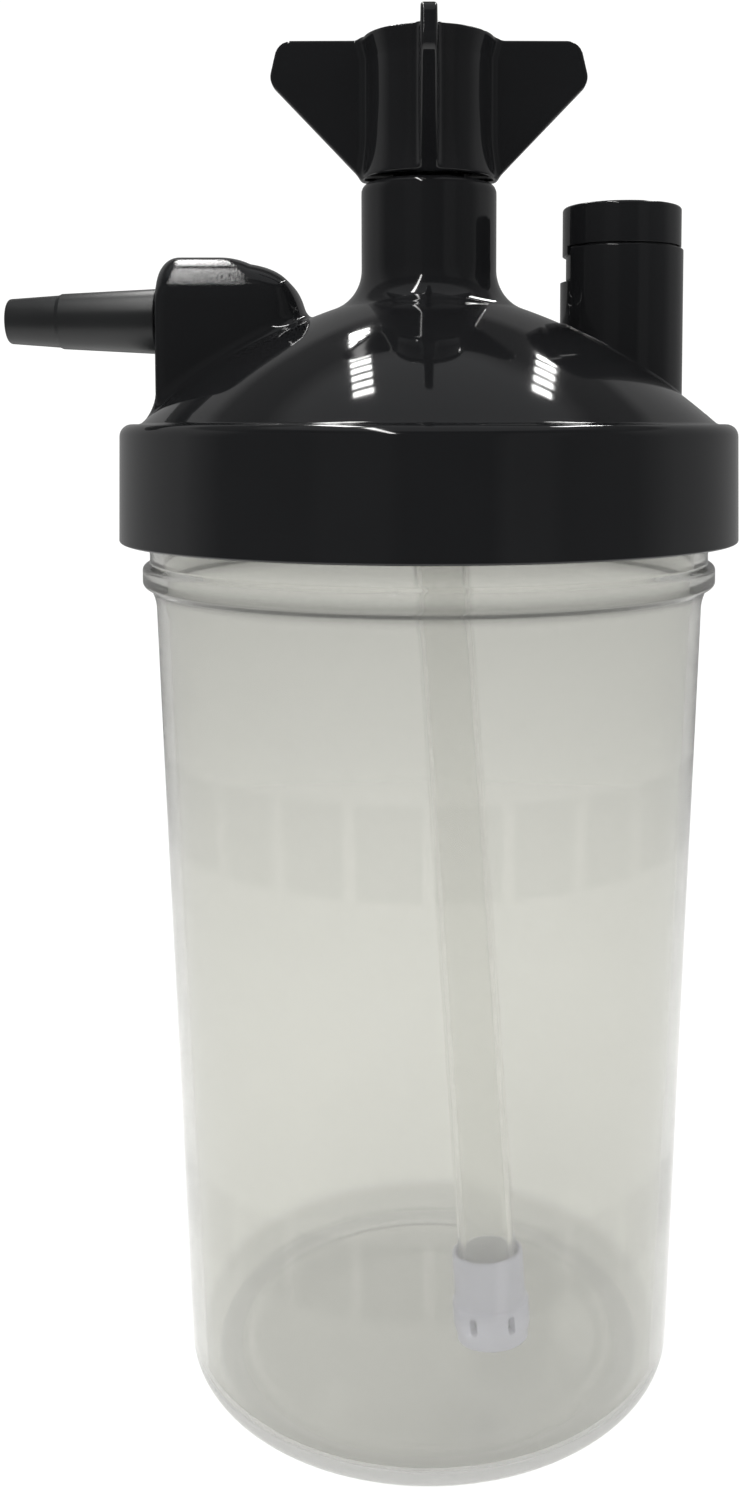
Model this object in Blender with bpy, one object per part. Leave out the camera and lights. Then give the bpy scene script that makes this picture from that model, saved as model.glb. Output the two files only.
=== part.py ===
"""Bubble humidifier bottle: a clear screw jar, a black domed lid with a wing nut inlet,
a hose nipple and a spring relief valve, and a dip tube with a diffuser.

+Z is up. The origin is the middle of the jar's flat base, on the jar's axis.
The outlet nipple points to -X and the relief valve stands on the +X side.
"""

import math

import bmesh
import bpy
from mathutils import Matrix, Vector

MM = 0.001

# Clearances
GAP = 0.3 * MM  # between two pieces that touch
SEAL_GAP = 0.1 * MM  # round the gland's O-ring
THREAD_GAP = 0.4 * MM  # between a thread's crest and the wall that it faces
WELD = 0.001 * MM  # points closer than this are one point
EMBED = 0.4 * MM  # how deep a joined form reaches into its neighbour
CUT_OVERRUN = 1.0 * MM  # how far a cutter passes the face that it cuts

# Jar
JAR_BASE_RADIUS = 34.6 * MM
JAR_TOP_RADIUS = 38.8 * MM
JAR_BODY_HEIGHT = 112.2 * MM  # from the base to the bead
JAR_WALL = 1.6 * MM
JAR_FLOOR = 1.8 * MM
JAR_CORNER = 3.5 * MM
BASE_GROOVE_RADIUS = 26.1 * MM
BASE_GROOVE_WIDTH = 1.4 * MM
BASE_GROOVE_DEPTH = 0.5 * MM
BEAD_HEIGHT = 3.2 * MM
BEAD_PROUD = 1.0 * MM
BEAD_BEVEL = 1.0 * MM
NECK_RADIUS = 39.4 * MM
NECK_WALL = 1.8 * MM
NECK_HEIGHT = 14.8 * MM  # from the bead to the rim

# Screw thread between jar and lid
JAR_THREAD_PITCH = 4.0 * MM
JAR_THREAD_TURNS = 1.25
JAR_THREAD_DEPTH = 1.2 * MM
JAR_THREAD_ROOT = 1.8 * MM  # width at the wall
JAR_THREAD_CREST = 0.9 * MM
JAR_THREAD_BELOW_RIM = 8.7 * MM  # from the rim down to where the jar's ridge starts
JAR_THREAD_PLAY = 0.3 * MM  # along the axis, between the two ridges

# Lid
LID_ABOVE_BEAD = 3.0 * MM
SKIRT_WALL = 2.5 * MM
SKIRT_DRAFT = 0.25 * MM
SKIRT_TOP_EDGE = 1.7 * MM
LID_WALL = 2.2 * MM
SHOULDER_WIDTH = 3.1 * MM
SEAT_WIDTH = 5.0 * MM
DOME_RADIUS = 81.7 * MM
DOME_EDGE_SLOPE = math.radians(42.0)
INLET_NECK_RADIUS = 9.55 * MM
INLET_NECK_HEIGHT = 33.75 * MM  # above the lid's shoulder
INLET_NECK_FILLET = 6.0 * MM
INLET_NECK_EDGE = 1.3 * MM
GLAND_BORE_DEPTH = 15.5 * MM
CROWN_WALL = 2.7 * MM
SPIGOT_LENGTH = 6.7 * MM
SPIGOT_BORE = 1.6 * MM

# Lid gasket
GASKET_THICKNESS = 1.6 * MM
GASKET_WIDTH = 4.2 * MM

# Outlet block, on the lid's -X side
BLOCK_HALF_WIDTH = 6.5 * MM
BLOCK_HEIGHT = 23.55 * MM  # above the lid's shoulder
BLOCK_EDGE_MARGIN = 2.4 * MM  # from the dome's edge in to the block's outer face
BLOCK_BACK_END = 16.3 * MM  # from the lid's axis to the block's round end
BLOCK_BACK_RADIUS = 11.9 * MM
BLOCK_FRONT_EDGE = 3.0 * MM
BLOCK_WALL = 2.1 * MM
BLOCK_FACE_WALL = 4.4 * MM
NIPPLE_HEIGHT = 14.55 * MM  # its axis above the lid's shoulder
NIPPLE_LENGTH = 21.6 * MM
NIPPLE_STEP_AT = 13.9 * MM
NIPPLE_STEP_LENGTH = 0.5 * MM
NIPPLE_ROOT_RADIUS = 4.6 * MM
NIPPLE_STEP_RADIUS = 3.9 * MM
NIPPLE_SHOULDER_RADIUS = 3.7 * MM
NIPPLE_TIP_RADIUS = 3.15 * MM
NIPPLE_TIP_EDGE = 0.5 * MM
NIPPLE_SHANK_RADIUS = 3.2 * MM
NIPPLE_BORE = 2.1 * MM

# Wing nut and gland
NUT_ABOVE_NECK = 0.5 * MM
NUT_HEIGHT = 19.5 * MM
NUT_WAIST_RADIUS = 8.7 * MM
NUT_FOOT_RADIUS = 9.5 * MM
NUT_RIM_RADIUS = 9.5 * MM
NUT_RIM_HEIGHT = 3.1 * MM  # from the parting line to the top
NUT_WAIST_HEIGHT = 6.8 * MM  # from the foot to where the waist starts
NUT_EDGE = 0.4 * MM
NUT_WEB = 3.4 * MM
NUT_THREAD_MAJOR = 7.14 * MM  # 9/16-18 UNF
NUT_THREAD_MINOR = 6.45 * MM
NUT_THREAD_PITCH = 25.4 / 18.0 * MM
NUT_THREAD_ROOT = 1.2 * MM  # width at the wall
NUT_THREAD_CREST = 0.35 * MM
NUT_THREAD_CHAMFER = 0.5 * MM
NUT_THREAD_TURNS = 5.5
NUT_THREAD_START = 10.8 * MM  # above the nut's foot
NUT_COUNTERBORE = 6.6 * MM
WING_COUNT = 4
WING_THICKNESS = 2.1 * MM
WING_SPAN = 22.4 * MM  # from the axis to a wing's tip
WING_BELOW_RIM = 0.3 * MM
WING_TIP_HEIGHT = 4.4 * MM
WING_TIP_ROUND = 2.6 * MM
WING_TIP_SLOPE = 0.6 * MM
WING_ROOT_RADIUS = 10.8 * MM
WING_ROOT_HEIGHT = 1.4 * MM  # above the nut's foot
GLAND_SHANK_RADIUS = 4.8 * MM
GLAND_FLANGE_HEIGHT = 2.2 * MM
GLAND_NOSE_RADIUS = 4.0 * MM
GLAND_NOSE_HEIGHT = 6.2 * MM
GLAND_NOSE_ROUND = 1.6 * MM
GLAND_BORE = 1.9 * MM
RING_SECTION = 1.0 * MM
RING_GROOVE_HEIGHT = 1.8 * MM
RING_HEIGHT = 7.7 * MM  # above the gland's foot

# Relief valve, on the lid's +X side
VALVE_EDGE_MARGIN = 13.1 * MM  # from the dome's edge in to the valve's axis
TOWER_RADIUS = 8.65 * MM
TOWER_HEIGHT = 24.55 * MM  # above the lid's shoulder
TOWER_LIP_WALL = 0.5 * MM
TOWER_TOP_EDGE = 0.3 * MM
TOWER_LIP_HEIGHT = 4.6 * MM
TOWER_WELL_RADIUS = 7.0 * MM
TOWER_WELL_DEPTH = 4.0 * MM  # below the lip's ledge
TOWER_FLOOR = 1.6 * MM
TOWER_CORE_RADIUS = 6.4 * MM
TOWER_PORT = 2.2 * MM
WINDOW_MIDDLE = math.radians(170.0)
WINDOW_ANGLE = math.radians(76.0)
CAP_KEY_ANGLE = math.radians(56.0)
CAP_KEY_DEPTH = 1.2 * MM
VALVE_CAP_RADIUS = 8.35 * MM
VALVE_CAP_HEIGHT = 5.6 * MM
VALVE_CAP_EDGE = 0.5 * MM
VALVE_CAP_TOP = 1.8 * MM
SLEEVE_WALL = 1.0 * MM
SLEEVE_PORT_WIDTH = 3.0 * MM
SLEEVE_PORT_HEIGHT = 2.2 * MM
GUIDE_RADIUS = 2.4 * MM
GUIDE_LENGTH = 3.3 * MM
GUIDE_EXTRA_DEPTH = 0.4 * MM
SEAT_THICKNESS = 2.1 * MM
SEAT_BORE = 2.4 * MM
SEAT_LIP_WALL = 1.0 * MM
SEAT_LIP_HEIGHT = 0.8 * MM
SEAL_RADIUS = 4.2 * MM
SEAL_THICKNESS = 1.0 * MM
POPPET_RADIUS = 5.2 * MM
POPPET_PLATE = 1.2 * MM
POPPET_STEM_RADIUS = 1.35 * MM
POPPET_LIFT = 1.5 * MM
SPRING_RADIUS = 3.3 * MM
SPRING_WIRE = 0.3 * MM
SPRING_TURNS = 5

# Dip tube and diffuser
TUBE_RADIUS = 4.0 * MM
TUBE_BORE = 2.95 * MM
TUBE_STRAIGHT = 4.0 * MM  # on the spigot, before the bend
TUBE_BEND_RADIUS = 60.0 * MM
TUBE_LEAN = math.radians(7.75)
TUBE_LEAN_AZIMUTH = math.radians(-60.8)
DIFFUSER_ABOVE_FLOOR = 7.3 * MM
DIFFUSER_RADIUS = 5.2 * MM
DIFFUSER_HEIGHT = 5.4 * MM  # below the tube's end
DIFFUSER_ROUND = 2.4 * MM
DIFFUSER_SHOULDER = 0.5 * MM
DIFFUSER_SLEEVE_WALL = 0.5 * MM
DIFFUSER_SLEEVE_LENGTH = 6.2 * MM
FRIT_RADIUS = 3.4 * MM
FRIT_THICKNESS = 2.6 * MM
SLOT_PAIRS = 3
SLOT_WIDTH = 1.0 * MM
SLOT_HEIGHT = 2.0 * MM

# Facets round a full turn
LARGE_FACETS = 48
MEDIUM_FACETS = 28
SMALL_FACETS = 20
SPRING_FACETS = 12
RING_SIDES = 8
WIRE_SIDES = 6

# Facets along an arc
CORNER_STEPS = 3
DOME_STEPS = 7
NECK_FILLET_STEPS = 4
HALF_ROUND_STEPS = 10
BACK_ROUND_STEPS = 6
WINDOW_STEPS = 6
TUBE_BEND_STEPS = 5

THREAD_FADE = 1.0 / 12.0  # the share of a turn in which a thread grows or fades
SHARP_EDGE = math.radians(35.0)

# Heights that follow from the sizes above
BEAD_TOP_Z = JAR_BODY_HEIGHT + BEAD_HEIGHT
RIM_Z = BEAD_TOP_Z + NECK_HEIGHT
LID_FOOT_Z = BEAD_TOP_Z + LID_ABOVE_BEAD
GASKET_Z = RIM_Z + GAP
SEAT_Z = GASKET_Z + GASKET_THICKNESS + GAP
SHOULDER_Z = SEAT_Z + LID_WALL
NECK_TOP_Z = SHOULDER_Z + INLET_NECK_HEIGHT
BORE_FLOOR_Z = NECK_TOP_Z - GLAND_BORE_DEPTH
CROWN_Z = BORE_FLOOR_Z - CROWN_WALL
NUT_FOOT_Z = NECK_TOP_Z + NUT_ABOVE_NECK
NIPPLE_Z = SHOULDER_Z + NIPPLE_HEIGHT
TOWER_TOP_Z = SHOULDER_Z + TOWER_HEIGHT
LEDGE_Z = TOWER_TOP_Z - TOWER_LIP_HEIGHT
WELL_FLOOR_Z = LEDGE_Z - TOWER_WELL_DEPTH
CAP_FOOT_Z = TOWER_TOP_Z + GAP
CAP_TOP_Z = CAP_FOOT_Z + VALVE_CAP_HEIGHT
CEILING_Z = CAP_TOP_Z - VALVE_CAP_TOP
SEAT_INSERT_Z = WELL_FLOOR_Z + GAP
SEAL_Z = SEAT_INSERT_Z + SEAT_THICKNESS + SEAT_LIP_HEIGHT + GAP
POPPET_Z = SEAL_Z + SEAL_THICKNESS + GAP
PLATE_TOP_Z = POPPET_Z + POPPET_PLATE
STEM_TOP_Z = CEILING_Z + GUIDE_EXTRA_DEPTH - GAP - POPPET_LIFT

# Radii and places that follow from the sizes above
SKIRT_BORE = NECK_RADIUS + JAR_THREAD_DEPTH + THREAD_GAP
SKIRT_RADIUS = SKIRT_BORE + SKIRT_WALL
DOME_EDGE = SKIRT_RADIUS - SHOULDER_WIDTH
DOME_CENTRE_R = DOME_EDGE - DOME_RADIUS * math.sin(DOME_EDGE_SLOPE)
DOME_CENTRE_Z = SHOULDER_Z - DOME_RADIUS * math.cos(DOME_EDGE_SLOPE)
SEAT_INNER = SKIRT_BORE - SEAT_WIDTH
GLAND_BORE_RADIUS = GLAND_SHANK_RADIUS + GAP
SPIGOT_RADIUS = TUBE_BORE - GAP
BLOCK_FACE_X = -(DOME_EDGE - BLOCK_EDGE_MARGIN)
VALVE_X = DOME_EDGE - VALVE_EDGE_MARGIN
SLEEVE_RADIUS = TOWER_RADIUS - TOWER_LIP_WALL - GAP

# Materials: colour, roughness, metallic, alpha
FINISHES = {
    "black_plastic": ((0.012, 0.012, 0.013), 0.12, 0.0, 1.0),
    "satin_black_plastic": ((0.018, 0.019, 0.020), 0.38, 0.0, 1.0),
    "clear_polypropylene": ((0.80, 0.81, 0.78), 0.22, 0.0, 0.35),
    "clear_tube": ((0.78, 0.78, 0.76), 0.25, 0.0, 0.45),
    "lavender_plastic": ((0.60, 0.60, 0.66), 0.35, 0.0, 0.75),
    "porous_plastic": ((0.66, 0.66, 0.68), 0.85, 0.0, 1.0),
    "silicone": ((0.72, 0.72, 0.70), 0.55, 0.0, 1.0),
    "black_rubber": ((0.015, 0.015, 0.015), 0.70, 0.0, 1.0),
    "acetal": ((0.75, 0.75, 0.72), 0.40, 0.0, 1.0),
    "spring_steel": ((0.62, 0.62, 0.60), 0.28, 1.0, 1.0),
}


# ---------------------------------------------------------------- outlines


def arc(centre, radius, start, end, steps):
    """Points on an arc in a plane, both ends included; angles in radians."""
    turns = [start + (end - start) * i / steps for i in range(steps + 1)]
    return [(centre[0] + radius * math.cos(a), centre[1] + radius * math.sin(a)) for a in turns]


def rounded(corners):
    """An outline from (a, b) or (a, b, fillet) corners, each fillet an arc."""
    outline = []
    for i, corner in enumerate(corners):
        here = Vector(corner[:2])
        if len(corner) == 2:
            outline.append((here.x, here.y))
            continue
        before = (Vector(corners[i - 1][:2]) - here).normalized()
        after = (Vector(corners[(i + 1) % len(corners)][:2]) - here).normalized()
        half = before.angle(after) / 2.0
        centre = here + (before + after).normalized() * (corner[2] / math.sin(half))
        reach = corner[2] / math.tan(half)
        first = here + before * reach - centre
        last = here + after * reach - centre
        sweep = first.angle_signed(last)
        for step in range(CORNER_STEPS + 1):
            turn = -sweep * step / CORNER_STEPS
            x = first.x * math.cos(turn) - first.y * math.sin(turn)
            y = first.x * math.sin(turn) + first.y * math.cos(turn)
            outline.append((centre.x + x, centre.y + y))
    return outline


# ---------------------------------------------------------------- solids


def tidy(shape):
    """Welds a solid's points and turns its faces outwards."""
    bmesh.ops.remove_doubles(shape, verts=shape.verts, dist=WELD)
    bmesh.ops.recalc_face_normals(shape, faces=shape.faces)
    return shape


def lathe(outline, facets):
    """A solid of revolution about Z; an outline that ends on the axis stays open there."""
    shape = bmesh.new()
    points = [shape.verts.new((radius, 0.0, height)) for radius, height in outline]
    first = 1 if outline[0][0] == 0.0 else 0
    edges = [shape.edges.new((points[i - 1], points[i])) for i in range(first, len(points))]
    bmesh.ops.spin(
        shape,
        geom=points + edges,
        cent=(0.0, 0.0, 0.0),
        axis=(0.0, 0.0, 1.0),
        angle=2.0 * math.pi,
        steps=facets,
        use_merge=True,
    )
    return tidy(shape)


def prism(outline, low, high, axes):
    """An outline raised from low to high; axes names the outline's two axes and the rise."""
    shape = bmesh.new()
    order = ["XYZ".index(letter) for letter in axes]

    def point(a, b, rise):
        place = [0.0, 0.0, 0.0]
        for axis, value in zip(order, (a, b, rise)):
            place[axis] = value
        return shape.verts.new(place)

    base = shape.faces.new([point(a, b, low) for a, b in outline])
    raised = bmesh.ops.extrude_face_region(shape, geom=[base], use_keep_orig=True)
    moved = [item for item in raised["geom"] if isinstance(item, bmesh.types.BMVert)]
    rise = Vector((0.0, 0.0, 0.0))
    rise[order[2]] = high - low
    bmesh.ops.translate(shape, verts=moved, vec=rise)
    return tidy(shape)


def sweep(sections):
    """Joins equal rings of points with quads, and caps the two ends."""
    shape = bmesh.new()
    rings = [[shape.verts.new(point) for point in section] for section in sections]
    count = len(rings[0])
    for lower, upper in zip(rings, rings[1:]):
        for i in range(count):
            j = (i + 1) % count
            shape.faces.new((lower[i], lower[j], upper[j], upper[i]))
    shape.faces.new(rings[0])
    shape.faces.new(rings[-1])
    return tidy(shape)


def helical_ridge(wall, crest, root_width, crest_width, pitch, turns, start_z, facets):
    """A right-hand thread ridge that grows out of a wall and fades at both ends."""
    outward = 1.0 if crest > wall else -1.0
    buried = wall - outward * EMBED
    faded = wall - outward * EMBED / 2.0
    slope = (root_width - crest_width) / abs(crest - wall)
    buried_width = root_width + slope * EMBED
    steps = int(turns * facets)
    fade = THREAD_FADE * facets
    sections = []
    for i in range(steps + 1):
        turn = 2.0 * math.pi * i / facets
        middle = start_z + pitch * i / facets
        top = faded + (crest - faded) * min(1.0, i / fade, (steps - i) / fade)
        profile = (
            (buried, middle - buried_width / 2.0),
            (top, middle - crest_width / 2.0),
            (top, middle + crest_width / 2.0),
            (buried, middle + buried_width / 2.0),
        )
        sections.append([(r * math.cos(turn), r * math.sin(turn), z) for r, z in profile])
    return sweep(sections)


def cylinder(radius, low, high, facets):
    return lathe([(0.0, low), (radius, low), (radius, high), (0.0, high)], facets)


# ---------------------------------------------------------------- objects


def finish(name):
    """The material of that name, made on its first use."""
    if name in bpy.data.materials:
        return bpy.data.materials[name]
    colour, roughness, metallic, alpha = FINISHES[name]
    material = bpy.data.materials.new(name)
    material.use_nodes = True
    shader = material.node_tree.nodes["Principled BSDF"]
    shader.inputs["Base Color"].default_value = (*colour, 1.0)
    shader.inputs["Roughness"].default_value = roughness
    shader.inputs["Metallic"].default_value = metallic
    shader.inputs["Alpha"].default_value = alpha
    return material


def add_object(name, shape, parent=None, location=(0.0, 0.0, 0.0)):
    mesh = bpy.data.meshes.new(name)
    shape.to_mesh(mesh)
    shape.free()
    mesh.shade_smooth()
    mesh.set_sharp_from_angle(angle=SHARP_EDGE)
    thing = bpy.data.objects.new(name, mesh)
    bpy.context.scene.collection.objects.link(thing)
    thing.location = location
    thing.parent = parent
    return thing


def add_piece(name, shape, material, parent=None, location=(0.0, 0.0, 0.0)):
    piece = add_object(name, shape, parent, location)
    piece.data.materials.append(finish(material))
    return piece


def add_form(name, shape, parent=None, location=(0.0, 0.0, 0.0)):
    """A helper solid that only takes part in Booleans."""
    form = add_object(name, shape, parent, location)
    form.hide_render = True
    form.display_type = "WIRE"
    return form


def add_empty(name, location, parent=None):
    empty = bpy.data.objects.new(name, None)
    bpy.context.scene.collection.objects.link(empty)
    empty.location = location
    empty.parent = parent
    return empty


def combine(piece, operation, form):
    step = piece.modifiers.new(operation.lower() + "_" + form.name, "BOOLEAN")
    step.operation = operation
    step.solver = "EXACT"
    step.object = form


# ---------------------------------------------------------------- jar


def build_jar():
    groove_low = BASE_GROOVE_RADIUS - BASE_GROOVE_WIDTH / 2.0
    groove_high = BASE_GROOVE_RADIUS + BASE_GROOVE_WIDTH / 2.0
    bead = NECK_RADIUS + BEAD_PROUD
    outline = rounded([
        (0.0, 0.0),
        (groove_low, 0.0),
        (groove_low + BASE_GROOVE_DEPTH / 2.0, BASE_GROOVE_DEPTH),
        (groove_high - BASE_GROOVE_DEPTH / 2.0, BASE_GROOVE_DEPTH),
        (groove_high, 0.0),
        (JAR_BASE_RADIUS, 0.0, JAR_CORNER),
        (JAR_TOP_RADIUS, JAR_BODY_HEIGHT),
        (bead, JAR_BODY_HEIGHT + BEAD_BEVEL),
        (bead, BEAD_TOP_Z - BEAD_BEVEL),
        (NECK_RADIUS, BEAD_TOP_Z),
        (NECK_RADIUS, RIM_Z),
        (NECK_RADIUS - NECK_WALL, RIM_Z),
        (NECK_RADIUS - NECK_WALL, BEAD_TOP_Z),
        (JAR_TOP_RADIUS - JAR_WALL, JAR_BODY_HEIGHT),
        (JAR_BASE_RADIUS - JAR_WALL, JAR_FLOOR, JAR_CORNER - JAR_WALL),
        (0.0, JAR_FLOOR),
    ])
    jar = add_piece("jar", lathe(outline, LARGE_FACETS), "clear_polypropylene")
    ridge = helical_ridge(
        NECK_RADIUS,
        NECK_RADIUS + JAR_THREAD_DEPTH,
        JAR_THREAD_ROOT,
        JAR_THREAD_CREST,
        JAR_THREAD_PITCH,
        JAR_THREAD_TURNS,
        RIM_Z - JAR_THREAD_BELOW_RIM,
        LARGE_FACETS,
    )
    combine(jar, "UNION", add_form("jar_thread_form", ridge))


def build_gasket():
    outer = SKIRT_BORE - THREAD_GAP
    outline = [
        (outer - GASKET_WIDTH, 0.0),
        (outer, 0.0),
        (outer, GASKET_THICKNESS),
        (outer - GASKET_WIDTH, GASKET_THICKNESS),
    ]
    add_piece("lid_gasket", lathe(outline, LARGE_FACETS), "silicone", location=(0.0, 0.0, GASKET_Z))


# ---------------------------------------------------------------- lid


def dome_angle(radius, distance):
    """The dome's polar angle where an arc at that distance from its centre has this radius."""
    return math.acos((radius - DOME_CENTRE_R) / distance)


def lid_outline():
    """The outside of the lid, from the middle of its foot up to the middle of its neck."""
    fillet_r = INLET_NECK_RADIUS + INLET_NECK_FILLET
    fillet_turn = dome_angle(fillet_r, DOME_RADIUS + INLET_NECK_FILLET)
    fillet_z = DOME_CENTRE_Z + (DOME_RADIUS + INLET_NECK_FILLET) * math.sin(fillet_turn)
    skirt = rounded([
        (0.0, LID_FOOT_Z),
        (SKIRT_RADIUS, LID_FOOT_Z),
        (SKIRT_RADIUS - SKIRT_DRAFT, SHOULDER_Z, SKIRT_TOP_EDGE),
        (DOME_EDGE, SHOULDER_Z),
    ])
    centre = (DOME_CENTRE_R, DOME_CENTRE_Z)
    dome_edge = dome_angle(DOME_EDGE, DOME_RADIUS)
    dome = arc(centre, DOME_RADIUS, dome_edge, fillet_turn, DOME_STEPS)
    fillet_place = (fillet_r, fillet_z)
    fillet_start = fillet_turn + math.pi
    fillet_arc = (INLET_NECK_FILLET, fillet_start, math.pi, NECK_FILLET_STEPS)
    fillet = arc(fillet_place, *fillet_arc)
    neck = rounded([
        (INLET_NECK_RADIUS, fillet_z + EMBED),
        (INLET_NECK_RADIUS, NECK_TOP_Z, INLET_NECK_EDGE),
        (0.0, NECK_TOP_Z),
    ])
    return skirt + dome[1:] + fillet[1:] + neck


def hollow_outline():
    """The space under the lid: round the spigot, under the dome, and out past the skirt's foot."""
    inner = DOME_RADIUS - LID_WALL
    pad = TUBE_RADIUS + LID_WALL
    centre = (DOME_CENTRE_R, DOME_CENTRE_Z)
    below = LID_FOOT_Z - CUT_OVERRUN
    middle = [
        (0.0, below),
        (0.0, CROWN_Z - SPIGOT_LENGTH),
        (SPIGOT_RADIUS, CROWN_Z - SPIGOT_LENGTH),
        (SPIGOT_RADIUS, CROWN_Z),
        (pad, CROWN_Z),
    ]
    seat_edge = dome_angle(SEAT_INNER, inner)
    under = arc(centre, inner, dome_angle(pad, inner), seat_edge, DOME_STEPS)
    skirt = [
        (SEAT_INNER, SEAT_Z),
        (SKIRT_BORE, SEAT_Z),
        (SKIRT_BORE, LID_FOOT_Z + EMBED),
        (SKIRT_BORE + EMBED, LID_FOOT_Z),
        (SKIRT_BORE + EMBED, below),
    ]
    return list(reversed(middle + under + skirt))


def inlet_bore_outline():
    """The gland's bore, and the narrow bore that goes on down through the spigot."""
    above = NECK_TOP_Z + CUT_OVERRUN
    spigot_foot = CROWN_Z - SPIGOT_LENGTH
    return [
        (0.0, spigot_foot - CUT_OVERRUN),
        (SPIGOT_BORE, spigot_foot - CUT_OVERRUN),
        (SPIGOT_BORE, BORE_FLOOR_Z),
        (GLAND_BORE_RADIUS, BORE_FLOOR_Z),
        (GLAND_BORE_RADIUS, above),
        (0.0, above),
    ]


def block_form(name, inset, face_x, low_z):
    """The outlet block's shape, or the passage inside it, as the part shared by three prisms."""
    half = BLOCK_HALF_WIDTH - inset
    top = SHOULDER_Z + BLOCK_HEIGHT - inset
    round_x = -(BLOCK_BACK_END + BLOCK_HALF_WIDTH)
    plan = [(face_x, half), (face_x, -half)]
    plan += arc((round_x, 0.0), half, -math.pi / 2.0, math.pi / 2.0, HALF_ROUND_STEPS)
    back = BLOCK_BACK_RADIUS - inset
    back_x = -(BLOCK_BACK_END + BLOCK_BACK_RADIUS)
    side = rounded([
        (back_x + back, low_z),
        (face_x, low_z),
        (face_x, top, BLOCK_FRONT_EDGE - inset / 2.0),
        (back_x - WELD, top),
    ])
    side += arc((back_x, top - back), back, math.pi / 2.0, 0.0, BACK_ROUND_STEPS)
    arch = [(-half, low_z), (half, low_z)]
    arch += arc((0.0, top - half), half, 0.0, math.pi, HALF_ROUND_STEPS)
    form = add_form(name, prism(plan, low_z, top + CUT_OVERRUN, "XYZ"))
    reach = half + CUT_OVERRUN
    combine(form, "INTERSECT", add_form(name + "_side", prism(side, -reach, reach, "XZY")))
    end_x = -BLOCK_BACK_END + CUT_OVERRUN
    ends = (face_x - CUT_OVERRUN, end_x)
    combine(form, "INTERSECT", add_form(name + "_arch", prism(arch, *ends, "YZX")))
    return form


def nipple_hole():
    depth = BLOCK_FACE_WALL + CUT_OVERRUN
    hole = cylinder(NIPPLE_SHANK_RADIUS + GAP, -depth, CUT_OVERRUN, SMALL_FACETS)
    cutter = add_form("nipple_hole", hole, location=(BLOCK_FACE_X, 0.0, NIPPLE_Z))
    cutter.rotation_euler.y = -math.pi / 2.0
    return cutter


def tower_form():
    outline = rounded([
        (0.0, SEAT_Z + EMBED),
        (TOWER_RADIUS, SEAT_Z + EMBED),
        (TOWER_RADIUS, TOWER_TOP_Z, TOWER_TOP_EDGE),
        (0.0, TOWER_TOP_Z),
    ])
    shape = lathe(outline, MEDIUM_FACETS)
    return add_form("valve_tower_form", shape, location=(VALVE_X, 0.0, 0.0))


def ring_part(inner, outer, angle):
    """The outline of a part of a ring, with its middle where the vent window is."""
    first = WINDOW_MIDDLE - angle / 2.0
    last = WINDOW_MIDDLE + angle / 2.0
    outside = arc((0.0, 0.0), outer, first, last, WINDOW_STEPS)
    return outside + arc((0.0, 0.0), inner, last, first, WINDOW_STEPS)


def tower_cutters():
    """The core under the tower's floor, the stepped well above it, and the side window."""
    place = (VALVE_X, 0.0, 0.0)
    core_top = WELL_FLOOR_Z - TOWER_FLOOR
    lip_bore = TOWER_RADIUS - TOWER_LIP_WALL
    above = TOWER_TOP_Z + CUT_OVERRUN
    core = cylinder(TOWER_CORE_RADIUS, SEAT_Z, core_top, MEDIUM_FACETS)
    well = lathe([
        (0.0, core_top - CUT_OVERRUN),
        (TOWER_PORT, core_top - CUT_OVERRUN),
        (TOWER_PORT, WELL_FLOOR_Z),
        (TOWER_WELL_RADIUS, WELL_FLOOR_Z),
        (TOWER_WELL_RADIUS, LEDGE_Z),
        (lip_bore, LEDGE_Z),
        (lip_bore, above),
        (0.0, above),
    ], MEDIUM_FACETS)
    ring = ring_part(lip_bore - CUT_OVERRUN, TOWER_RADIUS + CUT_OVERRUN, WINDOW_ANGLE)
    window = prism(ring, LEDGE_Z, above, "XYZ")
    return (
        add_form("valve_tower_core", core, location=place),
        add_form("valve_well", well, location=place),
        add_form("vent_window", window, location=place),
    )


def lid_thread_form():
    """The lid's ridge, which lies under the jar's ridge with play between their flanks."""
    flanks = (JAR_THREAD_ROOT + JAR_THREAD_CREST) / 2.0
    ridge = helical_ridge(
        SKIRT_BORE,
        NECK_RADIUS + THREAD_GAP,
        JAR_THREAD_ROOT,
        JAR_THREAD_CREST,
        JAR_THREAD_PITCH,
        JAR_THREAD_TURNS,
        RIM_Z - JAR_THREAD_BELOW_RIM - flanks - JAR_THREAD_PLAY,
        LARGE_FACETS,
    )
    return add_form("lid_thread_form", ridge)


def build_lid(lid_axis):
    lid = add_piece("lid", lathe(lid_outline(), LARGE_FACETS), "black_plastic", lid_axis)
    block_foot = SEAT_Z + EMBED
    combine(lid, "UNION", tower_form())
    combine(lid, "UNION", block_form("outlet_block_form", 0.0, BLOCK_FACE_X, block_foot))
    combine(lid, "DIFFERENCE", add_form("lid_hollow", lathe(hollow_outline(), LARGE_FACETS)))
    combine(lid, "DIFFERENCE", add_form("inlet_bore", lathe(inlet_bore_outline(), MEDIUM_FACETS)))
    passage_x = BLOCK_FACE_X + BLOCK_FACE_WALL
    passage = block_form("outlet_passage", BLOCK_WALL, passage_x, SEAT_Z + EMBED)
    for cutter in (*tower_cutters(), passage, nipple_hole()):
        combine(lid, "DIFFERENCE", cutter)
    combine(lid, "UNION", lid_thread_form())


# ---------------------------------------------------------------- inlet


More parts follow.
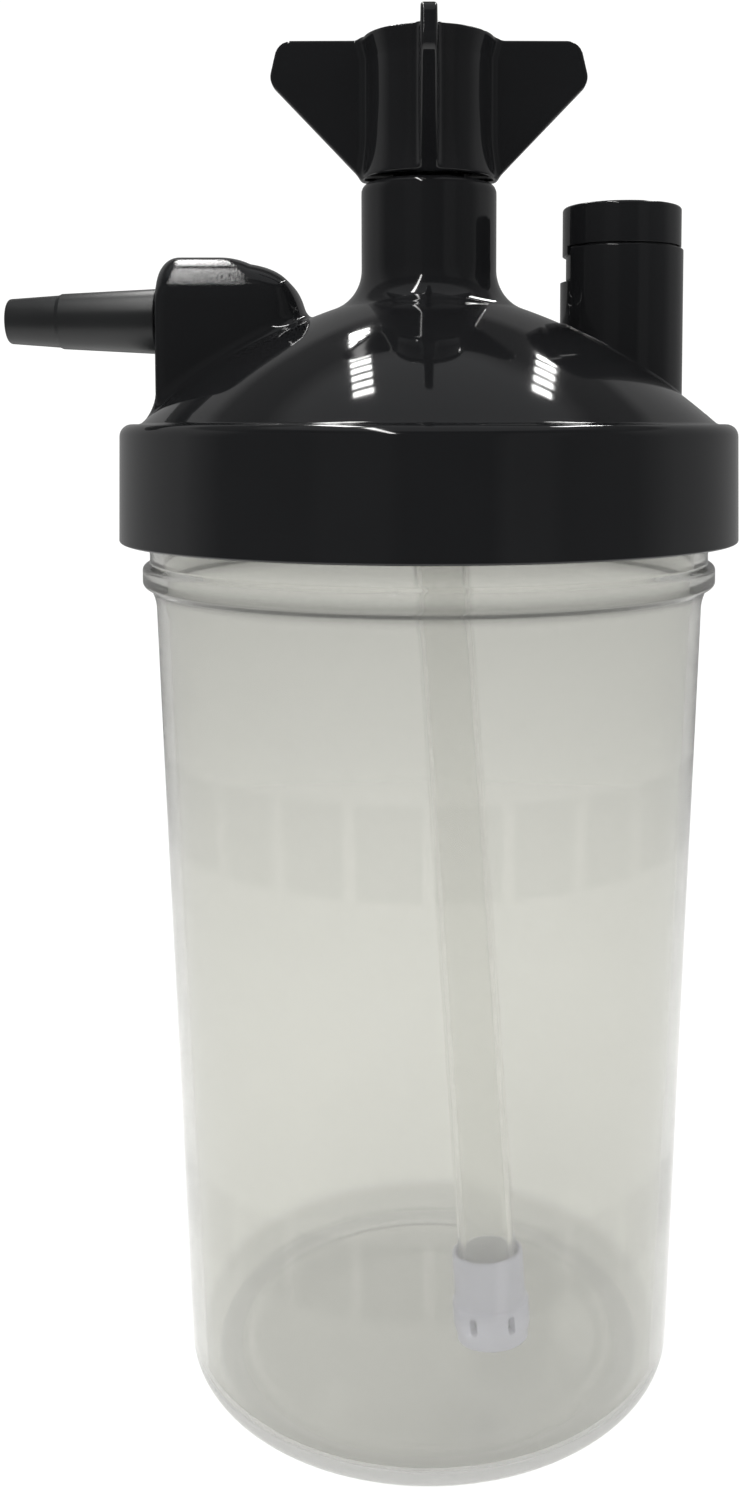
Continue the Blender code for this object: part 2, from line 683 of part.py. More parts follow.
def build_wing_nut(inlet_axis):
    outline = rounded([
        (GLAND_BORE_RADIUS, 0.0),
        (NUT_FOOT_RADIUS, 0.0, NUT_EDGE),
        (NUT_FOOT_RADIUS, WING_ROOT_HEIGHT),
        (NUT_WAIST_RADIUS, NUT_WAIST_HEIGHT),
        (NUT_WAIST_RADIUS, NUT_HEIGHT - NUT_RIM_HEIGHT),
        (NUT_RIM_RADIUS, NUT_HEIGHT, NUT_EDGE),
        (NUT_THREAD_MAJOR + NUT_THREAD_CHAMFER, NUT_HEIGHT),
        (NUT_THREAD_MAJOR, NUT_HEIGHT - NUT_THREAD_CHAMFER),
        (NUT_THREAD_MAJOR, NUT_THREAD_START - NUT_THREAD_PITCH),
        (NUT_COUNTERBORE, NUT_THREAD_START - NUT_THREAD_PITCH),
        (NUT_COUNTERBORE, NUT_WEB),
        (GLAND_BORE_RADIUS, NUT_WEB),
    ])
    nut = add_piece("inlet_wing_nut", lathe(outline, MEDIUM_FACETS), "black_plastic", inlet_axis)
    root = NUT_THREAD_MAJOR + EMBED
    top = NUT_HEIGHT - WING_BELOW_RIM
    wing_outline = rounded([
        (root, top),
        (root, WING_ROOT_HEIGHT),
        (WING_ROOT_RADIUS, WING_ROOT_HEIGHT),
        (WING_SPAN, top - WING_TIP_HEIGHT, WING_TIP_ROUND),
        (WING_SPAN - WING_TIP_SLOPE, top, WING_TIP_ROUND),
    ])
    half = WING_THICKNESS / 2.0
    for i in range(WING_COUNT):
        wing = add_form(f"wing_form_{i}", prism(wing_outline, -half, half, "XZY"), inlet_axis)
        wing.rotation_euler.z = 2.0 * math.pi * i / WING_COUNT
        combine(nut, "UNION", wing)
    ridge = helical_ridge(
        NUT_THREAD_MAJOR,
        NUT_THREAD_MINOR,
        NUT_THREAD_ROOT,
        NUT_THREAD_CREST,
        NUT_THREAD_PITCH,
        NUT_THREAD_TURNS,
        NUT_THREAD_START,
        SMALL_FACETS,
    )
    combine(nut, "UNION", add_form("nut_thread_form", ridge, inlet_axis))


def build_gland(lid_axis):
    foot = BORE_FLOOR_Z + GAP
    ring_radius = GLAND_BORE_RADIUS - SEAL_GAP - RING_SECTION / 2.0
    groove_radius = ring_radius - RING_SECTION / 2.0 - SEAL_GAP
    ring_z = foot + RING_HEIGHT
    flange_z = NUT_FOOT_Z + NUT_WEB + GAP
    nose_z = flange_z + GLAND_FLANGE_HEIGHT
    outline = rounded([
        (GLAND_BORE, foot),
        (GLAND_SHANK_RADIUS, foot),
        (GLAND_SHANK_RADIUS, ring_z - RING_GROOVE_HEIGHT / 2.0),
        (groove_radius, ring_z - RING_GROOVE_HEIGHT / 2.0),
        (groove_radius, ring_z + RING_GROOVE_HEIGHT / 2.0),
        (GLAND_SHANK_RADIUS, ring_z + RING_GROOVE_HEIGHT / 2.0),
        (GLAND_SHANK_RADIUS, flange_z),
        (NUT_COUNTERBORE - THREAD_GAP, flange_z),
        (NUT_COUNTERBORE - THREAD_GAP, nose_z),
        (GLAND_NOSE_RADIUS, nose_z),
        (GLAND_NOSE_RADIUS, nose_z + GLAND_NOSE_HEIGHT, GLAND_NOSE_ROUND),
        (GLAND_BORE, nose_z + GLAND_NOSE_HEIGHT),
    ])
    add_piece("inlet_gland", lathe(outline, MEDIUM_FACETS), "black_plastic", lid_axis)
    section = arc((ring_radius, ring_z), RING_SECTION / 2.0, 0.0, 2.0 * math.pi, RING_SIDES)
    add_piece("gland_o_ring", lathe(section, MEDIUM_FACETS), "black_rubber", lid_axis)


# ---------------------------------------------------------------- outlet


def build_nipple(lid_axis):
    outline = rounded([
        (NIPPLE_BORE, -BLOCK_FACE_WALL),
        (NIPPLE_SHANK_RADIUS, -BLOCK_FACE_WALL),
        (NIPPLE_SHANK_RADIUS, GAP),
        (NIPPLE_ROOT_RADIUS, GAP),
        (NIPPLE_STEP_RADIUS, NIPPLE_STEP_AT),
        (NIPPLE_SHOULDER_RADIUS, NIPPLE_STEP_AT + NIPPLE_STEP_LENGTH),
        (NIPPLE_TIP_RADIUS, NIPPLE_LENGTH, NIPPLE_TIP_EDGE),
        (NIPPLE_BORE, NIPPLE_LENGTH),
    ])
    place = (BLOCK_FACE_X, 0.0, NIPPLE_Z)
    shape = lathe(outline, SMALL_FACETS)
    nipple = add_piece("outlet_nipple", shape, "satin_black_plastic", lid_axis, place)
    nipple.rotation_euler.y = -math.pi / 2.0


# ---------------------------------------------------------------- relief valve


def build_valve_cap(valve_axis):
    guide_bore = POPPET_STEM_RADIUS + GAP
    sleeve_foot = LEDGE_Z + GAP
    outline = rounded([
        (0.0, CEILING_Z + GUIDE_EXTRA_DEPTH),
        (guide_bore, CEILING_Z + GUIDE_EXTRA_DEPTH),
        (guide_bore, CEILING_Z - GUIDE_LENGTH),
        (GUIDE_RADIUS, CEILING_Z - GUIDE_LENGTH),
        (GUIDE_RADIUS, CEILING_Z),
        (SLEEVE_RADIUS - SLEEVE_WALL, CEILING_Z),
        (SLEEVE_RADIUS - SLEEVE_WALL, sleeve_foot),
        (SLEEVE_RADIUS, sleeve_foot),
        (SLEEVE_RADIUS, CAP_FOOT_Z),
        (VALVE_CAP_RADIUS, CAP_FOOT_Z),
        (VALVE_CAP_RADIUS, CAP_TOP_Z, VALVE_CAP_EDGE),
        (0.0, CAP_TOP_Z),
    ])
    shape = lathe(outline, MEDIUM_FACETS)
    cap = add_piece("relief_valve_cap", shape, "black_plastic", valve_axis)
    ring = ring_part(SLEEVE_RADIUS - EMBED, VALVE_CAP_RADIUS, CAP_KEY_ANGLE)
    key = prism(ring, CAP_FOOT_Z - CAP_KEY_DEPTH, CAP_FOOT_Z + EMBED, "XYZ")
    combine(cap, "UNION", add_form("cap_key_form", key, valve_axis))
    half = SLEEVE_PORT_WIDTH / 2.0
    reach = (SLEEVE_RADIUS - SLEEVE_WALL - CUT_OVERRUN, SLEEVE_RADIUS + CUT_OVERRUN)
    port_outline = [(reach[0], -half), (reach[1], -half), (reach[1], half), (reach[0], half)]
    port_z = sleeve_foot + SLEEVE_PORT_HEIGHT
    port = prism(port_outline, sleeve_foot - CUT_OVERRUN, port_z, "XYZ")
    cutter = add_form("sleeve_port", port, valve_axis)
    cutter.rotation_euler.z = WINDOW_MIDDLE
    combine(cap, "DIFFERENCE", cutter)


def build_relief_seat(valve_axis):
    lip_z = SEAT_INSERT_Z + SEAT_THICKNESS
    outline = [
        (SEAT_BORE, SEAT_INSERT_Z),
        (TOWER_WELL_RADIUS - GAP, SEAT_INSERT_Z),
        (TOWER_WELL_RADIUS - GAP, lip_z),
        (SEAT_BORE + SEAT_LIP_WALL, lip_z),
        (SEAT_BORE + SEAT_LIP_WALL, lip_z + SEAT_LIP_HEIGHT),
        (SEAT_BORE, lip_z + SEAT_LIP_HEIGHT),
    ]
    add_piece("relief_seat", lathe(outline, MEDIUM_FACETS), "acetal", valve_axis)


def build_poppet(valve_axis):
    seal = cylinder(SEAL_RADIUS, SEAL_Z, SEAL_Z + SEAL_THICKNESS, SMALL_FACETS)
    add_piece("poppet_seal", seal, "silicone", valve_axis)
    outline = [
        (0.0, POPPET_Z),
        (SEAL_RADIUS + GAP, POPPET_Z),
        (SEAL_RADIUS + GAP, SEAL_Z + THREAD_GAP),
        (POPPET_RADIUS, SEAL_Z + THREAD_GAP),
        (POPPET_RADIUS, PLATE_TOP_Z),
        (POPPET_STEM_RADIUS, PLATE_TOP_Z),
        (POPPET_STEM_RADIUS, STEM_TOP_Z),
        (0.0, STEM_TOP_Z),
    ]
    add_piece("relief_poppet", lathe(outline, SMALL_FACETS), "acetal", valve_axis)


def build_spring(valve_axis):
    """A compression spring whose coil rises from the poppet's plate to the cap's ceiling."""
    low = PLATE_TOP_Z + GAP + SPRING_WIRE
    high = CEILING_Z - GAP - SPRING_WIRE
    steps = SPRING_TURNS * SPRING_FACETS
    section = arc((SPRING_RADIUS, 0.0), SPRING_WIRE, 0.0, 2.0 * math.pi, WIRE_SIDES)[:-1]
    sections = []
    for i in range(steps + 1):
        turn = 2.0 * math.pi * i / SPRING_FACETS
        height = low + (high - low) * i / steps
        sections.append([(r * math.cos(turn), r * math.sin(turn), height + z) for r, z in section])
    add_piece("relief_spring", sweep(sections), "spring_steel", valve_axis)


# ---------------------------------------------------------------- dip tube


def tube_frames():
    """Frames down the tube: straight on the spigot, one bend, then straight to its end."""
    towards = Vector((math.cos(TUBE_LEAN_AZIMUTH), math.sin(TUBE_LEAN_AZIMUTH), 0.0))
    sideways = Vector((-towards.y, towards.x, 0.0))
    top = Vector((0.0, 0.0, CROWN_Z - GAP))
    frames = [Matrix.Translation(top)]
    bend_start = top - Vector((0.0, 0.0, TUBE_STRAIGHT))
    for i in range(TUBE_BEND_STEPS + 1):
        angle = TUBE_LEAN * i / TUBE_BEND_STEPS
        drop = Vector((0.0, 0.0, -TUBE_BEND_RADIUS * math.sin(angle)))
        shift = towards * (TUBE_BEND_RADIUS * (1.0 - math.cos(angle)))
        turn = Matrix.Rotation(-angle, 4, sideways)
        frames.append(Matrix.Translation(bend_start + drop + shift) @ turn)
    down = frames[-1].to_3x3() @ Vector((0.0, 0.0, -1.0))
    bend_end = frames[-1].to_translation()
    corner = (DIFFUSER_RADIUS - DIFFUSER_ROUND) * math.sin(TUBE_LEAN)
    end_z = JAR_FLOOR + DIFFUSER_ABOVE_FLOOR + DIFFUSER_HEIGHT * math.cos(TUBE_LEAN) + corner
    length = (bend_end.z - end_z) / -down.z
    frames.append(Matrix.Translation(bend_end + down * length) @ turn)
    return frames


def build_dip_tube(lid_axis):
    """Quads run down the outside, across the lower end and back up the bore."""
    frames = tube_frames()
    shape = bmesh.new()
    rings = []
    outside = [(frame, TUBE_RADIUS) for frame in frames]
    inside = [(frame, TUBE_BORE) for frame in reversed(frames)]
    for frame, radius in outside + inside:
        circle = arc((0.0, 0.0), radius, 0.0, 2.0 * math.pi, SMALL_FACETS)[:-1]
        rings.append([shape.verts.new(frame @ Vector((x, y, 0.0))) for x, y in circle])
    for k, ring in enumerate(rings):
        after = rings[(k + 1) % len(rings)]
        for i in range(SMALL_FACETS):
            j = (i + 1) % SMALL_FACETS
            shape.faces.new((ring[i], ring[j], after[j], after[i]))
    add_piece("dip_tube", tidy(shape), "clear_tube", lid_axis)
    return frames[-1]


def build_diffuser(tube_end):
    chamber_radius = FRIT_RADIUS + GAP
    chamber_floor = -3.0 * GAP - FRIT_THICKNESS
    sleeve_bore = TUBE_RADIUS + GAP
    sleeve_radius = sleeve_bore + DIFFUSER_SLEEVE_WALL
    outline = rounded([
        (0.0, chamber_floor),
        (chamber_radius, chamber_floor),
        (chamber_radius, -GAP),
        (sleeve_bore, -GAP),
        (sleeve_bore, DIFFUSER_SLEEVE_LENGTH),
        (sleeve_radius, DIFFUSER_SLEEVE_LENGTH),
        (sleeve_radius, 0.0),
        (DIFFUSER_RADIUS, -DIFFUSER_SHOULDER),
        (DIFFUSER_RADIUS, -DIFFUSER_HEIGHT, DIFFUSER_ROUND),
        (0.0, -DIFFUSER_HEIGHT),
    ])
    head = add_piece("diffuser_head", lathe(outline, SMALL_FACETS), "lavender_plastic", tube_end)
    reach = DIFFUSER_RADIUS + CUT_OVERRUN
    half = SLOT_WIDTH / 2.0
    slot_outline = [(-reach, -half), (reach, -half), (reach, half), (-reach, half)]
    slot_low = chamber_floor + GAP
    for i in range(SLOT_PAIRS):
        slot = prism(slot_outline, slot_low, slot_low + SLOT_HEIGHT, "XYZ")
        cutter = add_form(f"diffuser_slot_{i}", slot, tube_end)
        cutter.rotation_euler.z = math.pi * i / SLOT_PAIRS
        combine(head, "DIFFERENCE", cutter)
    frit = cylinder(FRIT_RADIUS, chamber_floor + GAP, -2.0 * GAP, SMALL_FACETS)
    add_piece("diffuser_frit", frit, "porous_plastic", tube_end)


# ---------------------------------------------------------------- assembly


def clear_scene():
    for thing in list(bpy.data.objects):
        bpy.data.objects.remove(thing, do_unlink=True)


def main():
    clear_scene()
    build_jar()
    build_gasket()
    lid_axis = add_empty("lid_axis", (0.0, 0.0, 0.0))
    build_lid(lid_axis)
    inlet_axis = add_empty("inlet_axis", (0.0, 0.0, NUT_FOOT_Z), lid_axis)
    build_wing_nut(inlet_axis)
    build_gland(lid_axis)
    build_nipple(lid_axis)
    valve_axis = add_empty("valve_axis", (VALVE_X, 0.0, 0.0), lid_axis)
    build_valve_cap(valve_axis)
    build_relief_seat(valve_axis)
    build_poppet(valve_axis)
    build_spring(valve_axis)
    end_frame = build_dip_tube(lid_axis)
    tube_end = add_empty("tube_end", end_frame.to_translation(), lid_axis)
    tube_end.rotation_euler = end_frame.to_euler()
    build_diffuser(tube_end)


main()
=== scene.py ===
import functools
import math

import bpy
import numpy as np
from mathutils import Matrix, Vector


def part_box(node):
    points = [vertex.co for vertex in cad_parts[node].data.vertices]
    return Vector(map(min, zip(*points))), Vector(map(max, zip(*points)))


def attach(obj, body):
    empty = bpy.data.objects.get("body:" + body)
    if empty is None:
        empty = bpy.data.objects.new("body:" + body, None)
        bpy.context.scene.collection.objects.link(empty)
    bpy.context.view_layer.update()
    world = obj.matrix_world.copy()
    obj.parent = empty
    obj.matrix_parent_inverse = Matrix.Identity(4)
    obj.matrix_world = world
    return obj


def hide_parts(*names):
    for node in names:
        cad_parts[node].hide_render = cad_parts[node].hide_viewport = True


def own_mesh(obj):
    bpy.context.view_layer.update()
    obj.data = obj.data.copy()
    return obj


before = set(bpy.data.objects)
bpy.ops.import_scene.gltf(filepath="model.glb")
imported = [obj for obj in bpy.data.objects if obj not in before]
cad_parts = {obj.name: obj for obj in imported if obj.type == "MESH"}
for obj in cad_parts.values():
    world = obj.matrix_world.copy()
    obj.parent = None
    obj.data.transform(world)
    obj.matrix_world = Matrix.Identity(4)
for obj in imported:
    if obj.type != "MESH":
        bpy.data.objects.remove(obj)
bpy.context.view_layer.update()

MM = 0.001

# Detail of the meshes: steps round a turn or a fillet, and cells in millimetres
LATHE_STEPS = 288
SKIRT_STEPS = 384
TOWER_STEPS = 192
SMALL_STEPS = 128
TUBE_STEPS = 96
EDGE_STEPS = 8
DOME_CELL = 0.52
NUT_CELL = 0.30
DIFFUSER_CELL = 0.20
AXIS = 0.02  # an outline ends this far from the axis it turns round

# Lights, in metres: their height over the middle of the bottle, and that middle's height
LIGHT_HEIGHT = 0.70
LIGHT_BASE = 0.14
LIGHT_STRENGTH = 26.0
LIGHT_SLATS = 12

# The floor disc, in metres
FLOOR_RADIUS = 0.45
FLOOR_FADE = (0.10, 0.42)
FLOOR_STEPS = 96

# The jar's wall painted darker at its foot and under the lid as shade, with a painted dark line and
# highlight at the bead; its floor painted darker as shade; and its level marks
JAR_SHADE_AND_HIGHLIGHT = (
    (0.000, 0.62), (0.025, 0.66), (0.045, 0.80), (0.12, 0.82), (0.20, 0.83), (0.50, 0.825),
    (0.66, 0.80), (0.80, 0.765), (0.850, 0.75),
    # painted dark line where the bead meets the wall, and a painted highlight above it
    (0.857, 0.54), (0.867, 0.54), (0.874, 0.75), (0.885, 0.88), (0.90, 0.73), (1.000, 0.68),
)
# the jar's floor painted darker as shade under the lid, with a lighter and a darker painted ring near
# its edge
JAR_FLOOR_SHADE = (
    (0.0, 0.52), (0.76, 0.515), (0.775, 0.57), (0.795, 0.57), (0.81, 0.50), (0.905, 0.48),
    (0.925, 0.60), (1.0, 0.62),
)
JAR_TINT = (1.0, 1.0, 0.955)
FROST_TINT = (0.955, 0.955, 0.955)
FROST_ROUGHNESS = 0.05
JAR_DENSITY = 40.0
JAR_FLOOR_EDGE = 33.5
JAR_BASE_BLEND = (3.0, 5.0)  # millimetres above the foot, as the level rows
LEVEL_ROWS = ((23.0, 33.5), (77.0, 89.0))
BAR_COUNT = 24
BAR_SHARE = 0.84
BAR_BLUR = 0.05

# The studio seen in reflections: (place across from left to right, brightness) in front
# and behind, (height, share) for its walls, and the directions where back and ceiling start
FRONT_LEVELS = (
    (0.00, 0.070), (0.16, 0.070), (0.20, 0.100), (0.37, 0.095), (0.42, 0.050), (0.68, 0.035),
    (0.73, 0.125), (0.83, 0.125), (0.87, 0.075), (1.00, 0.110),
)
BACK_LEVELS = (
    (0.00, 0.30), (0.35, 0.28), (0.42, 0.24), (0.60, 0.20), (0.66, 0.27), (1.00, 0.26),
)
WALL_HEIGHTS = ((0.0, 1.0), (0.40, 1.0), (0.60, 1.0), (0.66, 0.35), (0.80, 0.35), (0.86, 1.0))
BACK_STARTS = (-0.22, 0.12)
CEILING_STARTS = (0.84, 0.88)
CEILING_LEVEL = (0.32, 0.325, 0.33)
WHITE_LEVEL = (1.08, 1.08, 1.075)


# ---- places from the frame


def node_box(node):
    """A CAD node's lowest and highest corner in millimetres."""
    low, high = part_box(node)
    return np.array(low) / MM, np.array(high) / MM


JAR_HIGH = node_box("jar")[1]
GASKET_LOW, GASKET_HIGH = node_box("lid_gasket")
LID_LOW, LID_HIGH = node_box("lid")
NUT_LOW, NUT_HIGH = node_box("inlet_wing_nut")
GLAND_LOW, GLAND_HIGH = node_box("inlet_gland")
RING_LOW, RING_HIGH = node_box("gland_o_ring")
NIPPLE_LOW, NIPPLE_HIGH = node_box("outlet_nipple")
CAP_LOW, CAP_HIGH = node_box("relief_valve_cap")
VALVE_SEAT_LOW = node_box("relief_seat")[0]
POPPET_LOW, POPPET_HIGH = node_box("relief_poppet")
SEAL_LOW, SEAL_HIGH = node_box("poppet_seal")
SPRING_LOW, SPRING_HIGH = node_box("relief_spring")

# The clearance that the CAD leaves between separate pieces
GAP = 0.3

SEAT_Z = GASKET_HIGH[2] + GAP
SHOULDER_Z = SEAT_Z + 2.2
SKIRT_RADIUS = LID_HIGH[0]
DOME_EDGE = SKIRT_RADIUS - 3.1
SKIRT_BORE = SKIRT_RADIUS - 2.5
NECK_TOP_Z = LID_HIGH[2]
NIPPLE_Z = (NIPPLE_LOW[2] + NIPPLE_HIGH[2]) / 2.0
VALVE_X = (CAP_LOW[0] + CAP_HIGH[0]) / 2.0
CAP_RADIUS = (CAP_HIGH[0] - CAP_LOW[0]) / 2.0
CAP_TOP_Z = CAP_HIGH[2]
CAP_FOOT_Z = CAP_TOP_Z - 5.6
TOWER_TOP_Z = CAP_FOOT_Z - GAP
LEDGE_Z = CAP_LOW[2] - GAP
NUT_FOOT_Z = NUT_LOW[2]
NUT_HEIGHT = NUT_HIGH[2] - NUT_LOW[2]
WING_SPAN = NUT_HIGH[0]

# Jar shape, in millimetres as all shapes below
JAR_BASE_RADIUS = 34.6
JAR_TOP_RADIUS = 38.8
JAR_BEAD_RADIUS = 40.4
JAR_NECK_RADIUS = 39.4
JAR_NECK_WALL = 1.8
JAR_NECK_HEIGHT = 14.8
JAR_BEAD_HEIGHT = 3.2
JAR_FLOOR_Z = 1.8
JAR_GROOVE_DEPTH = 0.18
GASKET_WIDTH = 4.2

# The screw thread between jar and lid
THREAD_PITCH = 4.0
THREAD_TURNS = 1.25
THREAD_HEIGHT = 1.2
THREAD_ROOT = 1.8
THREAD_CREST = 0.9
THREAD_STEPS = 192
THREAD_Z = JAR_HIGH[2] - 8.7
THREAD_PLAY = 1.65  # the lid's ridge starts this far below the jar's

# Lid shape
DOME_RADIUS = 81.7
DOME_SLOPE = math.radians(42.0)
DOME_CENTRE_R = DOME_EDGE - DOME_RADIUS * math.sin(DOME_SLOPE)
DOME_CENTRE_Z = SHOULDER_Z - DOME_RADIUS * math.cos(DOME_SLOPE)
DOME_WALL = 2.2
NECK_RADIUS = 9.55
NECK_FILLET = 6.0
NECK_EDGE = 1.3
GLAND_BORE = 5.1
BORE_FLOOR_Z = NECK_TOP_Z - 15.5
CROWN_Z = BORE_FLOOR_Z - 2.7
SPIGOT_FOOT_Z = CROWN_Z - 6.7
SPIGOT_RADIUS = 2.65
SPIGOT_BORE = 1.6
CROWN_PAD = 6.2
SEAT_INNER = SKIRT_BORE - 5.0
BLOCK_HALF = 6.5
BLOCK_TOP_Z = SHOULDER_Z + 23.55
BLOCK_FACE_WALL = 4.4
BLOCK_FACE_X = NIPPLE_HIGH[0] - BLOCK_FACE_WALL
BLOCK_END = 16.3
BLOCK_BACK = 11.9
BLOCK_BACK_LEAN = 0.6
BLOCK_LEAN_START = 3.0
BLOCK_EDGE = 2.6
BLOCK_FILLET = 1.9
BLOCK_WALL = 2.1
TOWER_RADIUS = 8.65
TOWER_CORE = 6.4
WELL_RADIUS = 7.0
WELL_FLOOR_Z = LEDGE_Z - 4.0
WELL_FLOOR_WALL = 1.6
GAS_HOLE = 2.2
LIP_WALL = 0.5
WINDOW_MIDDLE = math.radians(170.0)
WINDOW_ANGLE = math.radians(76.0)
KEY_ANGLE = math.radians(56.0)
CAP_ROOF = 1.8
GUIDE_DEPTH = 3.3
SEAT_PLATE = 2.1
SEAT_LIP = 0.8
STEM_RADIUS = 1.35
PLATE_HEIGHT = 1.2
SPRING_RADIUS = 3.3
SPRING_WIRE = 0.3
SPRING_TURNS = 5
SPRING_STEPS = 48

# The patch of coarser grain on the outlet block: where it fades in
PATCH_ENDS = (BLOCK_FACE_X + 11.0, BLOCK_FACE_X + 14.0)
PATCH_HEIGHTS = (BLOCK_TOP_Z - 6.65, BLOCK_TOP_Z - 5.15)

# Wing nut and gland shape, heights from the nut's foot
NUT_WAIST_RADIUS = 8.7
NUT_FLARE = 0.8
NUT_WAIST_HEIGHT = 6.8
NUT_RIM_HEIGHT = 3.1
NUT_WEB = 3.4
NUT_POCKET_RADIUS = 6.6
NUT_POCKET_TOP = 9.4
NUT_THREAD_MAJOR = 7.14  # 9/16-18 UNF
NUT_THREAD_MINOR = 6.45
NUT_THREAD_PITCH = 25.4 / 18.0
NUT_THREAD_TURNS = 5.5
NUT_THREAD_ROOT = 1.2
NUT_THREAD_CREST = 0.35
NUT_THREAD_STEPS = 96
WING_ROOT_RADIUS = 10.8
WING_ROOT_HEIGHT = 1.4
WING_CORNER = 2.4
WING_THICKNESS = 1.05  # half of it, at the tip
WING_TAPER = 0.012
GLAND_SHANK = 4.8
GLAND_GROOVE = 3.9
GLAND_PASSAGE = 1.9
GLAND_FLANGE = 6.2
GLAND_FLANGE_HEIGHT = 2.2
GLAND_NOSE = 4.0
RING_WIRE = 0.5

# Outlet nipple shape
NIPPLE_BORE = 2.1
NIPPLE_SPIGOT = 3.2
NIPPLE_SOCKET = 3.5
NIPPLE_ROOT = 4.6
NIPPLE_TIP = 3.15

# Dip tube and diffuser shape, the diffuser's heights from the tube's end
TUBE_RADIUS = 4.0
TUBE_BORE = 2.95
TUBE_LEAN = math.radians(7.75)
TUBE_AZIMUTH = math.radians(-60.8)
TUBE_BEND = 60.0
TUBE_STRAIGHT = 4.0
DIFFUSER_ABOVE_FLOOR = 7.3
CUP_RADIUS = 5.2
CUP_DEPTH = 5.4
CUP_EDGE = 2.4
CHAMBER_RADIUS = 3.7
SLEEVE_RADIUS = 4.8
SLEEVE_LENGTH = 6.2
SLEEVE_BORE = 4.3
SLOT_COUNT = 6
FRIT_RADIUS = 3.4


# ---- outlines


def rounded(corners, steps=EDGE_STEPS):
    """An outline from (a, b) or (a, b, fillet) corners, each fillet an arc."""
    outline = []
    for i, corner in enumerate(corners):
        here = np.array(corner[:2], float)
        if len(corner) == 2:
            outline.append(here)
            continue
        before = np.array(corners[i - 1][:2], float) - here
        after = np.array(corners[(i + 1) % len(corners)][:2], float) - here
        before /= np.linalg.norm(before)
        after /= np.linalg.norm(after)
        half = math.acos(np.clip(before @ after, -1.0, 1.0)) / 2.0
        middle = before + after
        centre = here + middle / np.linalg.norm(middle) * (corner[2] / math.sin(half))
        first = here + before * (corner[2] / math.tan(half)) - centre
        last = here + after * (corner[2] / math.tan(half)) - centre
        turn = math.atan2(first[0] * last[1] - first[1] * last[0], first @ last)
        for step in range(steps + 1):
            a = turn * step / steps
            outline.append(centre + (
                first[0] * math.cos(a) - first[1] * math.sin(a),
                first[0] * math.sin(a) + first[1] * math.cos(a),
            ))
    return np.array(outline)


# ---- meshes


def add_mesh(name, points, faces, body, slot, replaces=(), normals=None, sharp=32.0):
    """A piece from points in millimetres, riding on a body."""
    mesh = bpy.data.meshes.new(name)
    mesh.from_pydata((np.asarray(points) * MM).tolist(), [], [list(map(int, f)) for f in faces])
    mesh.validate()
    mesh.shade_smooth()
    if normals is not None:
        mesh.normals_split_custom_set_from_vertices(normals.tolist())
    else:
        mesh.set_sharp_from_angle(angle=math.radians(sharp))
    mesh.materials.append(bpy.data.materials[slot])
    piece = bpy.data.objects.new(name, mesh)
    bpy.context.scene.collection.objects.link(piece)
    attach(piece, body)
    if replaces:
        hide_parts(*replaces)
    return piece


def full_turn(steps):
    """Angles of a full turn in equal steps."""
    return 2.0 * math.pi * np.arange(steps) / steps


def ring_grid(outline, steps, start=0.0, angle=2.0 * math.pi, centre=(0.0, 0.0)):
    """Points of an outline turned round Z, as [turn, outline point, xyz]."""
    closed = abs(angle - 2.0 * math.pi) < 1e-9
    turns = start + angle * np.arange(steps if closed else steps + 1) / steps
    radius, height = outline[:, 0], outline[:, 1]
    x = centre[0] + np.outer(np.cos(turns), radius)
    y = centre[1] + np.outer(np.sin(turns), radius)
    return np.stack([x, y, np.broadcast_to(height, x.shape)], axis=2)


def grid_faces(rows, columns, wrap_rows, wrap_columns):
    """Quads of a grid of points, wrapped round in either direction."""
    i = np.arange(rows if wrap_rows else rows - 1)
    j = np.arange(columns if wrap_columns else columns - 1)
    i, j = np.meshgrid(i, j, indexing="ij")
    i, j = i.ravel(), j.ravel()
    k, m = (i + 1) % rows, (j + 1) % columns
    return np.stack([i * columns + j, k * columns + j, k * columns + m, i * columns + m], axis=1)


def lathe(outline, steps=LATHE_STEPS, centre=(0.0, 0.0)):
    """Points and faces of a closed outline turned round Z."""
    grid = ring_grid(outline, steps, centre=centre)
    return grid.reshape(-1, 3), grid_faces(*grid.shape[:2], True, True)


def sector(outline, steps, start, angle, centre=(0.0, 0.0)):
    """Points and faces of an outline turned through part of a circle, its two ends capped."""
    grid = ring_grid(outline, steps, start, angle, centre)
    rows, columns = grid.shape[:2]
    faces = grid_faces(rows, columns, False, True).tolist()
    faces.append(list(range(columns)))
    faces.append([(rows - 1) * columns + j for j in reversed(range(columns))])
    return grid.reshape(-1, 3), faces


def join(*parts):
    """Several (points, faces) as one."""
    points, faces, count = [], [], 0
    for part_points, part_faces in parts:
        points.append(np.asarray(part_points))
        faces += [[int(v) + count for v in face] for face in part_faces]
        count += len(part_points)
    return np.concatenate(points), faces


def sweep(path, radius, sides):
    """A round bar along a path of points."""
    tangent = np.gradient(path, axis=0)
    tangent /= np.linalg.norm(tangent, axis=1)[:, None]
    side = np.cross(tangent, [0.0, 0.0, 1.0])
    side /= np.linalg.norm(side, axis=1)[:, None]
    up = np.cross(side, tangent)
    a = full_turn(sides)
    grid = path[:, None, :] + radius * (
        np.cos(a)[None, :, None] * side[:, None, :] + np.sin(a)[None, :, None] * up[:, None, :]
    )
    faces = grid_faces(len(path), sides, False, True).tolist()
    faces.append(list(reversed(range(sides))))
    faces.append([(len(path) - 1) * sides + j for j in range(sides)])
    return grid.reshape(-1, 3), faces


